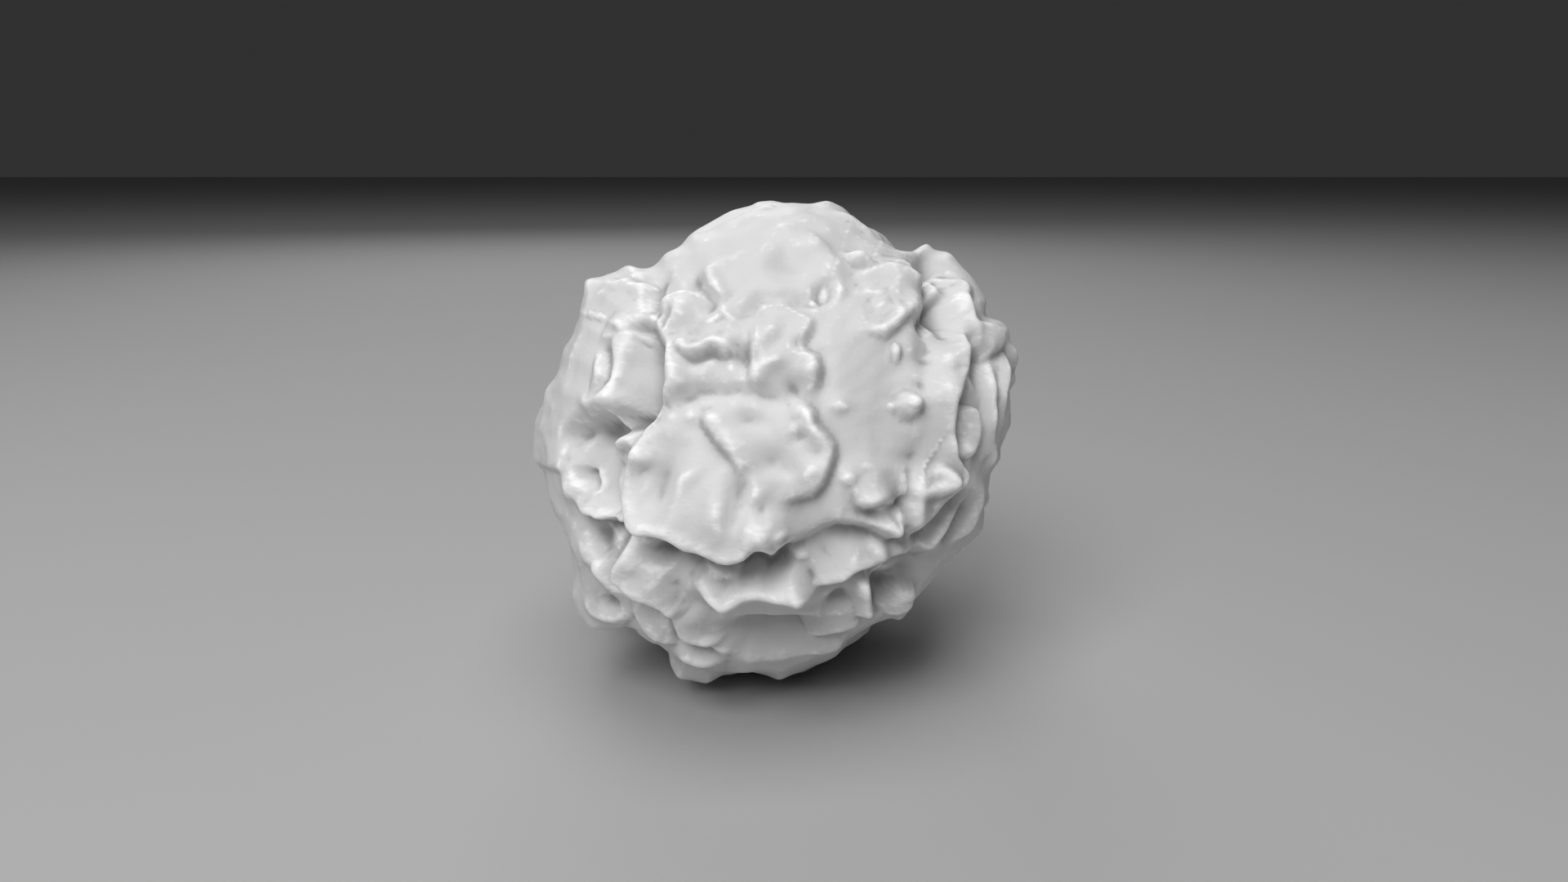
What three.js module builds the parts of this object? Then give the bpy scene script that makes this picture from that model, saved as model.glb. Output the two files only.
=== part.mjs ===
// A giant hailstone: one solid lump of ice with ledges, ridges, scoops and lobes, at rest on a small flat
// spot. Millimetres, +Z up, the front towards -Y.
//
// Every point of the skin lies at one distance from the stone's centre, for its own direction. That distance
// is a rounded base form plus the relief of named features. Front features are laid out on a flat chart
// through the centre, in millimetres to the right and up, and are carried onto the skin from a pole in front
// of the stone. On the chart's own axes x is right, y is up and z points to the pole. The finished stone is
// leaned back by LEAN.

import * as THREE from 'three';
import { mergeVertices } from 'three/addons/utils/BufferGeometryUtils.js';

// Driving dimensions, mm
const MEAN_RADIUS = 57;
const FRONT_RADIUS = 53.5;
const BACK_RADIUS = 52;
const REST_HEIGHT = 53.6; // centre of the stone above the flat spot
const CHART_POLE = 260; // from the centre to the pole of the chart
const LEAN = THREE.MathUtils.degToRad(15); // how far the chart's axis points above level

// Base form
const WAIST = 0.28; // depth of the outline towards the pole, as a share of the radius
const WAIST_REACH = 0.5; // how far in depth the broad outline fades, as a share of the radius
const OUTLINE_SHARE = 0.974; // radius at the waist for each millimetre of outline radius on the chart
const NOTCH_REACH = 0.3; // how much further back the notches of the outline run than its lumps
const SHOULDER = 1.6; // extra radius round the front, just inside the outline
const SHOULDER_DEPTH = 0.52;
const SHOULDER_REACH = 0.2;
const LUMP_REACH = 0.13; // how far in depth each lump of the outline runs, and how much that varies
const LUMP_REACH_VARIES = 0.04;
const DEEP_NOTCH = 1.5; // a dip in the outline, in mm, that counts as a notch
const HOLLOW_SIDE = 4; // how far inside the body, in mm, the outline has its reach doubled at the back
const AVERAGE_STEP = THREE.MathUtils.degToRad(9); // spacing of the samples the broad outline is averaged from
const AVERAGE_STEPS = 4; // samples on each side
const SKEW_REACH = 0.5; // how far from the waist the lumps of the outline start to slant
const AXIS_CLEAR = 0.6; // the outline has no effect nearer to the chart's axis than this fades to
const CALM = 0.6; // share of the relief that is held back right at the waist
const CALM_REACH = 0.08;
const SMOOTHEST = 0.8; // the most of the melt bowls' depth that smooth ground takes off

// Skin mesh
const SUBDIVISIONS = 21;
const RELAX_ROUNDS = 6;
const RELAX_SHARE = 0.6;

// The stone's outline on the chart, [right, up], anticlockwise from the right-hand shoulder
const OUTLINE = [
  [59.4, 20.2], [58.2, 17.6], [59, 16], [56.4, 11.6], [56.8, 6.2], [55.2, 3], [54.4, -1], [55, -3.4],
  [52.5, -7.6], [52.2, -10.6], [51, -14], [51.2, -18.2], [50.4, -22], [48, -24.6], [43, -27.4],
  [39, -29.2], [38.7, -33.4], [36.4, -36], [34.2, -37.4], [33.6, -40.6], [30.6, -43.8], [26.6, -42.8],
  [23.6, -42.2], [18.4, -46], [17.2, -49], [14.2, -52.5], [10.2, -54.2], [4.4, -56.6], [0.4, -58.2],
  [-3.2, -57], [-7.8, -56], [-13, -56.8], [-17.6, -59.2], [-20.4, -58.4], [-24.4, -57.8],
  [-26.3, -54.6], [-27, -50.8], [-32.6, -48], [-35.2, -46], [-36.2, -43.4], [-40.2, -46.2],
  [-45.8, -44.8], [-48.4, -41.6], [-49.8, -37.8], [-49.8, -31.6], [-51.3, -23], [-51, -20.4],
  [-54.2, -17], [-55.8, -14.2], [-56.8, -8], [-59, -4], [-59.2, 1], [-59, 5], [-58, 8.4], [-55.8, 11.2],
  [-52.6, 15.2], [-52.2, 20.6], [-51.6, 24], [-49.2, 26.4], [-47.8, 31.6], [-47, 36], [-46.8, 40.6],
  [-43, 41.2], [-39.2, 42.6], [-36.8, 44.2], [-33, 43], [-30, 42.2], [-27, 43.2], [-24.4, 46.8],
  [-21.2, 51.6], [-18.8, 53.2], [-14.8, 55.2], [-10.6, 57.2], [-6.2, 58.2], [-5, 59.3], [-1, 59.6],
  [1.6, 59], [7.4, 58.1], [12.6, 59.2], [16, 58], [19.4, 55], [24.6, 50.8], [25.8, 48], [28.4, 46.6],
  [33.6, 47], [36.2, 49.6], [38.4, 47.6], [42.4, 47], [45.2, 43.8], [47.8, 41], [51, 35.6], [50.6, 31],
  [54.6, 29.8], [56.6, 28], [57, 25], [59, 22.8],
];

// ---- Small helpers ----

const clamp01 = (value) => Math.min(Math.max(value, 0), 1);

const smooth = (value) => {
  const t = clamp01(value);
  return t * t * (3 - 2 * t);
};

const bell = (value, reach) => Math.exp(-((value / reach) ** 2));

const wrapAngle = (angle) => angle - 2 * Math.PI * Math.floor((angle + Math.PI) / (2 * Math.PI));

const onChartAxes = (x, y, z) => new THREE.Vector3(x, y, z).normalize();

// Repeatable random numbers, so that the stone is the same each time
function randomSource(seed) {
  let state = seed;
  return (low = 0, high = 1) => {
    state = (state * 1664525 + 1013904223) % 4294967296;
    return low + ((high - low) * state) / 4294967296;
  };
}

// Two directions along the skin at a direction: the first as near level to the right as it can be
function skinAxes(direction, turn = 0) {
  const guide = Math.abs(direction.x) < 0.9 ? new THREE.Vector3(1, 0, 0) : new THREE.Vector3(0, 1, 0);
  const across = guide.addScaledVector(direction, -guide.dot(direction)).normalize();
  const along = direction.clone().cross(across);
  const first = across.clone().multiplyScalar(Math.cos(turn)).addScaledVector(along, Math.sin(turn));
  const second = along.multiplyScalar(Math.cos(turn)).addScaledVector(across, -Math.sin(turn));
  return [first, second];
}

// ---- Base form ----

const outlineByAngle = OUTLINE
  .map(([x, y]) => ({ angle: Math.atan2(y, x), radius: Math.hypot(x, y) * OUTLINE_SHARE }))
  .sort((a, b) => a.angle - b.angle);

// Radius of the outline at an angle on the chart, eased half-way between straight and smooth joins
function outlineRadius(angle) {
  const count = outlineByAngle.length;
  const wrapped = wrapAngle(angle);
  let next = outlineByAngle.findIndex((point) => point.angle >= wrapped);
  next = next === -1 ? count : next;
  const before = outlineByAngle[(next - 1 + count) % count];
  const after = outlineByAngle[next % count];
  const start = before.angle - (next === 0 ? 2 * Math.PI : 0);
  const end = after.angle + (next === count ? 2 * Math.PI : 0);
  const t = (wrapped - start) / (end - start);
  return before.radius + (after.radius - before.radius) * (smooth(t) + t) / 2;
}

// The outline with its small lumps averaged out
function broadOutlineRadius(angle) {
  const nearest = AVERAGE_STEPS + 1;
  let sum = 0;
  for (let step = -AVERAGE_STEPS; step <= AVERAGE_STEPS; step += 1) {
    sum += outlineRadius(angle + AVERAGE_STEP * step) * (nearest - Math.abs(step));
  }
  return sum / nearest ** 2;
}

function baseRadius(direction) {
  const { x, y, z } = direction;
  const end = z > 0 ? FRONT_RADIUS : BACK_RADIUS;
  const body = MEAN_RADIUS + (end - MEAN_RADIUS) * smooth(Math.abs(z));
  const offAxis = smooth(Math.hypot(x, y) / AXIS_CLEAR);
  if (offAxis === 0) return body;
  const angle = Math.atan2(y, x);
  const away = z - WAIST;
  const broad = broadOutlineRadius(angle);
  const sway = Math.sin(4 * angle + 1) + 0.5 * Math.sin(9 * angle);
  const skew = smooth(Math.abs(away) / SKEW_REACH) * away * sway;
  const hollow = away < 0 ? smooth((body - broad) / HOLLOW_SIDE) : 0;
  const girth = (broad - body) * bell(away, WAIST_REACH * (1 + hollow));
  const shoulder = SHOULDER * bell(z - SHOULDER_DEPTH, SHOULDER_REACH);
  const lump = outlineRadius(angle + skew) - broad;
  const notch = away < 0 ? NOTCH_REACH * smooth(-lump / DEEP_NOTCH) : 0;
  const lumpReach = LUMP_REACH + LUMP_REACH_VARIES * Math.sin(5 * angle + 2) + notch;
  return body + (girth + shoulder + lump * bell(away, lumpReach)) * offAxis;
}

// Share of the relief that is kept: less at the waist, where the outline has its lumps already
function reliefShare({ x, y, z }) {
  return 1 - CALM * bell(z - WAIST, CALM_REACH) * smooth(Math.hypot(x, y) / AXIS_CLEAR);
}

// ---- Skin: the base form and the features laid on it so far ----

const UNDERSIDE = onChartAxes(0, -Math.cos(LEAN), -Math.sin(LEAN));

const features = [];
let drafted = []; // the front's features as first laid, while they are laid once more
const hiddenFeatures = [];
const smoothGround = [];

// Share of the hidden sides' relief: none on the front, at the waist or round the flat spot
function hiddenShare(direction) {
  const behind = 1 - smooth((direction.z + 0.26) / 0.28);
  const clearOfFlatSpot = 1 - smooth((direction.dot(UNDERSIDE) - 0.84) / 0.09);
  return behind * clearOfFlatSpot;
}

const sumRelief = (list, direction) => list.reduce((sum, feature) => sum + feature(direction), 0);

// Share of the melt bowls' depth: little on the ground that stays smooth
const roughShare = (direction) => 1 - Math.min(Math.max(sumRelief(smoothGround, direction), 0), SMOOTHEST);

function skinRadius(direction) {
  const yetToMove = drafted.slice(features.length + 1);
  const laid = sumRelief(features, direction) + sumRelief(yetToMove, direction);
  const relief = laid * reliefShare(direction);
  const share = hiddenShare(direction);
  const hiddenRelief = share > 0 ? sumRelief(hiddenFeatures, direction) * share : 0;
  return baseRadius(direction) + relief + hiddenRelief;
}

// Direction of the skin point that lies under a chart point, as seen from the pole
function underChart(x, y, lift = 0) {
  const pole = new THREE.Vector3(0, 0, CHART_POLE);
  const ray = onChartAxes(x, y, -CHART_POLE);
  const closest = pole.clone().addScaledVector(ray, -ray.dot(pole));
  const miss = closest.length();
  let radius = MEAN_RADIUS;
  const direction = new THREE.Vector3();
  for (let round = 0; round < 14; round += 1) {
    const half = Math.sqrt(Math.max(radius * radius - miss * miss, 0));
    direction.copy(closest).addScaledVector(ray, -half).normalize();
    const found = skinRadius(direction) + lift;
    radius = round < 2 ? found : 0.6 * radius + 0.4 * found;
  }
  return direction;
}

// ---- Features: each returns a function from a direction to millimetres of relief ----

// Lies under the chart where a feature that rises by its height would meet the line from the pole
const liftFor = (height) => 0.7 * Math.max(height, 0);

// A rounded oval swell, or a scoop where the height is below zero
function lobe({ at, direction, height, across, up = across, turn = 0 }) {
  const centre = direction ?? underChart(at[0], at[1], liftFor(height));
  const [first, second] = skinAxes(centre, THREE.MathUtils.degToRad(turn));
  const edge = Math.cos(Math.min(1.5, (Math.max(across, up) / MEAN_RADIUS) * 1.1));
  return (point) => {
    if (point.dot(centre) <= edge) return 0;
    const outward = Math.hypot(
      (point.dot(first) * MEAN_RADIUS) / across,
      (point.dot(second) * MEAN_RADIUS) / up,
    );
    return height * smooth(1 - outward);
  };
}

// A run of straight spans over the skin, held on the sphere of the mean radius, with a height at each
// corner. Heights fade to nothing over the first and last stretch unless the run is closed.
function layTrail({ trail, directions, height, fade, reach, closed = false, lift = liftFor(height) }) {
  const corners = directions ?? trail.map(([x, y]) => underChart(x, y, lift));
  const heights = corners.map((corner, index) => trail?.[index][2] ?? height);
  if (directions) heights.splice(0, heights.length, ...directions.map((corner) => corner.height));
  if (closed) {
    corners.push(corners[0]);
    heights.push(heights[0]);
  }
  const points = corners.map((corner) => corner.clone().multiplyScalar(MEAN_RADIUS));
  const spans = points.slice(1).map((point, index) => ({
    start: points[index],
    run: point.clone().sub(points[index]),
    normal: points[index].clone().cross(point).normalize(),
  }));
  const lengths = spans.map((span) => span.run.length());
  const total = lengths.reduce((sum, length) => sum + length, 0);
  let travelled = 0;
  const faded = heights.map((value, index) => {
    const share = closed || fade === 0 ? 1 : smooth(travelled / fade) * smooth((total - travelled) / fade);
    travelled += lengths[index] ?? 0;
    return value * share;
  });
  spans.forEach((span, index) => {
    const before = spans[index - 1] ?? (closed ? spans[spans.length - 1] : span);
    const after = spans[index + 1] ?? (closed ? spans[0] : span);
    span.length = lengths[index];
    span.startHeight = faded[index];
    span.endHeight = faded[index + 1];
    span.startNormal = before.normal.clone().add(span.normal);
    span.endNormal = after.normal.clone().add(span.normal);
  });
  const centre = corners.reduce((sum, corner) => sum.add(corner), new THREE.Vector3()).normalize();
  const widest = Math.max(...corners.map((corner) => corner.angleTo(centre)));
  return { spans, centre, edge: Math.cos(Math.min(3, widest + reach / MEAN_RADIUS)) };
}

// Distance from a trail, which side of it a point is on, and the trail's height there. Distances and heights
// are blended between spans, so that the skin has no seam where two spans are equally near.
function nearTrail({ spans }, point) {
  const spot = point.clone().multiplyScalar(MEAN_RADIUS);
  const foot = new THREE.Vector3();
  let nearest = Infinity;
  let side = 0;
  let weights = 0;
  let heights = 0;
  for (const span of spans) {
    const { start, run } = span;
    const t = clamp01(foot.copy(spot).sub(start).dot(run) / run.lengthSq());
    const gap = foot.copy(start).addScaledVector(run, t).setLength(MEAN_RADIUS).distanceTo(spot);
    if (gap < nearest) {
      const inner = t <= 0 ? span.startNormal : span.normal;
      nearest = gap;
      side = Math.sign(spot.dot(t >= 1 ? span.endNormal : inner));
    }
    const weight = ((gap + 0.25) ** -6 * span.length) / (span.length + 1);
    weights += weight;
    heights += weight * (span.startHeight + (span.endHeight - span.startHeight) * t);
  }
  const blended = Math.min(weights ** (-1 / 6), nearest * 1.05 + 0.25);
  const gap = nearest + (blended - nearest) * smooth((nearest - 1.5) / 4);
  return { gap, side, height: heights / weights };
}

// A crest along a trail that falls off evenly to both sides
function ridge({ width, sharp = 1.5, rounding = 0.4, fade = 4, ...options }) {
  const course = layTrail({ ...options, fade, reach: width });
  return (point) => {
    if (point.dot(course.centre) <= course.edge) return 0;
    const { gap, height } = nearTrail(course, point);
    const rounded = Math.sqrt(gap * gap + rounding * rounding) - rounding;
    return height * clamp01(1 - rounded / width) ** sharp;
  };
}

// A valley along a trail, cut to the depth given
function groove({ depth, trail, ...options }) {
  const cut = trail.map(([x, y, deep = depth]) => [x, y, -deep]);
  return ridge({ ...options, trail: cut, height: -depth, rounding: 0.8 });
}

// Falls from one to nothing as t falls: smoothly, or with a crisp crest and a hollow foot
const fall = (t, power, crisp) => smooth(t) + (clamp01(t) ** power - smooth(t)) * crisp;

// A step along a trail. The high ground is on the left of the trail and fades back over the run. The skin
// falls away over the drop on the right, into a shallow ditch if there is one.
function ledge({ run, drop, ditch = 0, crisp = 0.8, fade = 5, ...options }) {
  const course = layTrail({ ...options, fade, reach: Math.max(run, drop * 3) });
  const tallest = Math.max(Math.abs(options.height), 0.1);
  return (point) => {
    if (point.dot(course.centre) <= course.edge) return 0;
    const { gap, side, height } = nearTrail(course, point);
    if (side >= 0) return height * fall(1 - gap / run, 1.5, crisp * 0.4);
    const dip = ditch * smooth(1 - Math.abs(drop - gap) / (2 * drop)) * clamp01(height / tallest);
    return height * fall(1 - gap / drop, 1.6, crisp) - dip;
  };
}

// Raised ground inside a closed trail, as high at its edges as the nearest corners
function block({ trail, bevel, crisp = 0.8, ...options }) {
  const area = trail.reduce((sum, [x, y], index) => {
    const [nextX, nextY] = trail[(index + 1) % trail.length];
    return sum + x * nextY - nextX * y;
  }, 0);
  const ordered = area < 0 ? [...trail].reverse() : trail;
  const course = layTrail({ ...options, trail: ordered, closed: true, reach: bevel * 1.5 });
  return (point) => {
    if (point.dot(course.centre) <= course.edge) return 0;
    const { gap, side, height } = nearTrail(course, point);
    return height * fall(1 + (gap * side) / bevel, 1.6, crisp);
  };
}

// Shallow melt bowls scattered over the whole stone, which meet in crisp crests
function meltBowls({ count, smallest, largest, depth, seed }) {
  const random = randomSource(seed);
  const bowls = [];
  while (bowls.length < count) {
    const z = 2 * random() - 1;
    const angle = 2 * Math.PI * random();
    const width = random(smallest, largest);
    const share = 0.5 + 0.5 * random();
    const stretch = 0.7 + 0.5 * random();
    const turn = Math.PI * random();
    const ring = Math.sqrt(1 - z * z);
    const centre = new THREE.Vector3(ring * Math.cos(angle), ring * Math.sin(angle), z);
    const [first, second] = skinAxes(centre, turn);
    const edge = Math.cos((1.7 * width) / MEAN_RADIUS);
    bowls.push({ centre, first, second, width, stretch, share, edge });
  }
  return (point) => {
    let deepest = -1;
    for (const bowl of bowls) {
      if (point.dot(bowl.centre) <= bowl.edge) continue;
      const across = (point.dot(bowl.first) * MEAN_RADIUS) / bowl.width;
      const along = (point.dot(bowl.second) * MEAN_RADIUS) / (bowl.width * bowl.stretch);
      deepest = Math.max(deepest, bowl.share * (1 - across * across - along * along));
    }
    return -deepest * depth * roughShare(point);
  };
}

// Broad warped waves that keep the smooth ground from being a plain ball
function swell({ height, wavelength }) {
  return ({ x, y, z }) => {
    let frequency = (MEAN_RADIUS / wavelength) * 2;
    let amplitude = height;
    let sum = 0;
    for (let octave = 0; octave < 3; octave += 1) {
      const [a, b, c] = [x * frequency, y * frequency, z * frequency];
      const warpA = 0.9 * Math.sin(b * 1.1 + 1 + octave) + 0.7 * Math.sin(c * 0.83 - 1);
      const warpB = 0.9 * Math.sin(c * 1.07 + 2 - octave) + 0.7 * Math.sin(a * 0.91 + 1.3);
      const warpC = 0.9 * Math.sin(a * 0.97 - 1 + 0.5 * octave) + 0.7 * Math.sin(b * 0.87 + 2.1);
      const waves = Math.sin(a + warpA + octave) + Math.sin(b + warpB + 1.7) + Math.sin(c + warpC + 2.9);
      sum += (amplitude * waves) / 3;
      frequency *= 1.9;
      amplitude *= 0.5;
    }
    return sum;
  };
}

// ---- Features of the front, laid out on the chart as [right, up] or [right, up, height] ----

// Chin line of the central mass, and its right flank above
function layChin() {
  // chin line
  features.push(ledge({
    trail: [
      [-37.6, 7.5, 1], [-38.4, 3, 2.5], [-39, -2, 3.5], [-40.4, -7.5, 4], [-40.7, -12, 5],
      [-39.7, -17, 6.5], [-37.8, -21, 8], [-35, -23.2, 9], [-31, -22.8, 9], [-28, -23.3, 9],
      [-25, -25, 9], [-22.5, -26.6, 9], [-19.5, -27, 9], [-17, -28.2, 9], [-14, -29.6, 9],
      [-11, -29.5, 9], [-8, -28.6, 9], [-6, -26.8, 8.5], [-4, -26.4, 8], [-1.4, -28.4, 8],
      [0.4, -26.4, 6.5], [3, -25.4, 4], [6, -24.6, 2.4], [9, -23.4, 1.6], [13, -21.4, 1.8],
      [17, -20.2, 3.2], [22, -20.2, 5], [26, -21.2, 5.5], [29, -22.8, 6], [31, -24, 6],
      [32.6, -23.6, 5.5], [34, -21, 3.5], [35.4, -17.6, 2],
    ],
    height: 9, run: 19, drop: 2.8, fade: 3, ditch: 3,
  }));
  // right flank
  features.push(ledge({
    trail: [
      [33.4, -24.6, 1], [36.6, -21.6, 3], [39, -18.4, 4], [41.6, -15, 4.6], [44.6, -12, 5],
      [46.8, -9.8, 5.5], [47.8, -7.4, 5.5], [47, -5.4, 5], [45.6, -3, 5], [44, 0, 5.5], [43.5, 5, 5.5],
      [44, 10, 5.5], [45.6, 13.4, 5.5], [48, 19, 5.5], [48.8, 23, 5], [48.2, 27, 4.5], [49.4, 31, 3],
    ],
    height: 6, run: 13, drop: 2.4, ditch: 2,
  }));
  features.push(lobe({ at: [-28.4, -26.8], height: -3.5, across: 5, up: 3 })); // dark corner
}

// Jaw below the chin line, with the fin, the low lobes and the foot
function layJaw() {
  // tongue
  features.push(ledge({
    trail: [
      [-19, -27.6, 0.6], [-17.4, -30, 1.6], [-15, -32.4, 2], [-12.4, -33, 2], [-10, -31.8, 1.4],
      [-8.6, -29.6, 0.6],
    ],
    height: 2, run: 6, drop: 1.5, fade: 1.5, ditch: 0.4,
  }));
  // mouth crack
  features.push(groove({
    trail: [
      [-10, -31], [-8, -29.8], [-5, -29], [-3, -29.8], [-2, -31], [0, -30], [1.5, -28], [4, -26.6],
    ],
    depth: 2.6, width: 1.9, fade: 2,
  }));
  // cheek band
  features.push(ledge({
    trail: [
      [-38.6, -21.6, 2], [-37.8, -25, 4], [-39.4, -28.2, 5], [-41.4, -31.4, 5.5], [-41.2, -34.4, 6],
      [-38, -37, 6], [-34, -39.6, 6], [-31, -41, 5.5], [-28.6, -43.6, 4], [-26.8, -47, 2],
    ],
    height: 6, run: 11, drop: 1.8, fade: 3, ditch: 1.4,
  }));
  // jaw edge
  features.push(ledge({
    trail: [
      [-23.6, -31.6, 2], [-22.4, -33.4, 3.5], [-19.5, -36.4, 5.5], [-17, -39.4, 6.5], [-14, -41.6, 7],
      [-11.5, -40.2, 6.5], [-9, -38, 6.5], [-5, -37, 6.5], [-1, -37.6, 6.5], [2, -38.6, 6.5],
      [4.8, -40.2, 6.5], [7, -39.8, 6.5], [8.2, -37.2, 5.5], [9.4, -35.6, 5],
    ],
    height: 8, run: 8, drop: 6, crisp: 0.4,
  }));
  // jaw crease
  features.push(groove({
    trail: [[-27.5, -32], [-26, -35.5], [-26.4, -40], [-27, -43]],
    depth: 2.4, width: 3,
  }));
  // jaw crest
  features.push(ridge({
    trail: [[-22, -33.6], [-19.4, -36], [-16.8, -39], [-14.4, -40.6], [-12, -39.2], [-9.4, -37]],
    height: 1.2, width: 2.2, sharp: 1,
  }));
  features.push(lobe({ at: [5.6, -36.4], height: 2, across: 3, up: 4.4 })); // jaw corner
  features.push(lobe({ at: [-2, -33.4], height: -1.4, across: 5, up: 3 })); // jaw scoop
  // right band
  features.push(ledge({
    trail: [
      [8.4, -38.6, 2], [8.8, -36.4, 3.4], [12, -35.2, 3.8], [16, -33.8, 4.2], [20, -31.8, 4.4],
      [23, -30, 4.8], [26, -28.6, 4.8], [30, -27.2, 4.4], [33, -26.6, 3.5], [35.4, -26, 2],
    ],
    height: 4.8, run: 9, drop: 2, ditch: 1.6,
  }));
  // band fold
  features.push(groove({
    trail: [[10.6, -33], [15, -31], [19, -28.8]],
    depth: 1.2, width: 3, fade: 2,
  }));
  // band fold above
  features.push(groove({
    trail: [[9, -29], [12, -27], [15, -25]],
    depth: 1, width: 3, fade: 2,
  }));
  features.push(lobe({ at: [25.4, -26.4], height: 2.6, across: 4, up: 2.6, turn: -50 })); // band lump
  features.push(lobe({ at: [5.4, -27], height: 1.4, across: 2.6, up: 1.8 })); // lip crumb
  features.push(lobe({ at: [0, -48.4], height: -7, across: 25, up: 8.4 })); // under scoop
  features.push(lobe({ at: [14.5, -39], height: -2.6, across: 6, up: 4.6, turn: 25 })); // lower right scoop
  // lower right edge
  features.push(ledge({
    trail: [[7.6, -50, 2], [10.6, -47.6, 4], [15, -46.3, 4.5], [20, -45.5, 4.5], [22.4, -44.8, 4]],
    height: 4.5, run: 8, drop: 2, fade: 3,
  }));
  // lower panel
  features.push(ledge({
    trail: [[8, -53.4, 1], [12, -52.8, 2], [15.4, -51.4, 2.4], [17.6, -48.4, 2]],
    height: 2.4, run: 5, drop: 1.6, fade: 2,
  }));
  // fin
  features.push(ledge({
    trail: [
      [20.4, -45.4, 2.5], [22.6, -44.4, 5], [23.9, -42.7, 5.5], [23.4, -39, 5.5], [23, -35.5, 5],
      [22.9, -32, 3],
    ],
    height: 5.5, run: 5, drop: 1.8, fade: 3, ditch: 1.4,
  }));
  // fin crest
  features.push(ridge({
    trail: [[21.8, -33], [21.4, -37], [22.6, -41.8]],
    height: 1.6, width: 2.6, sharp: 1,
  }));
  // right recess
  features.push(ledge({
    trail: [
      [37, -25.6, -3], [33, -28.8, -6], [28, -30, -7], [24.6, -33, -7], [24.4, -38, -7],
      [25, -42.6, -5],
    ],
    height: -7, run: 11, drop: 1.8, fade: 3,
  }));
  features.push(lobe({ at: [29.6, -33.6], height: -2, across: 7, up: 4.6, turn: 15 })); // back shade
  // back fold one
  features.push(ridge({
    trail: [[25.6, -35], [30, -33.2], [34.8, -32.6]],
    height: 1.8, width: 1.8, sharp: 1,
  }));
  // back fold two
  features.push(ridge({
    trail: [[26, -38.4], [30.6, -35.8], [35.8, -35]],
    height: 1.8, width: 2, sharp: 1,
  }));
  // back lump
  features.push(block({
    trail: [
      [25.6, -39.8, 2], [30.4, -36.8, 3], [34.2, -37.2, 3], [33.6, -40.2, 2.5], [31, -42.8, 2],
      [27, -41.8, 2],
    ],
    height: 3, bevel: 1.6,
  }));
  // belly edge
  features.push(ledge({
    trail: [
      [-28.2, -42.5, 2], [-27.7, -45.8, 3.5], [-24.8, -48.6, 4], [-22, -49.9, 4], [-18, -50.6, 3.5],
      [-13, -53, 3], [-9, -54.4, 2],
    ],
    height: 4, run: 9, drop: 2,
  }));
  // low left lobe
  features.push(block({
    trail: [
      [-36, -41, 1.5], [-36, -44.4, 2], [-33.6, -47.8, 2.5], [-30.4, -49.6, 3], [-27.6, -50.2, 3],
      [-28, -46, 1.6], [-30, -42.8, 1],
    ],
    height: 3, bevel: 2,
  }));
  // low left crest
  features.push(ridge({
    trail: [[-34, -45.6], [-30.6, -47.2]],
    height: 1, width: 2.4, fade: 2,
  }));
  features.push(lobe({ at: [-19.8, -55], height: 3.4, across: 7, up: 4.2 })); // foot
  features.push(lobe({ at: [-17.6, -50.6], height: 2.2, across: 4.4, up: 1.8 })); // foot hump
}

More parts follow.
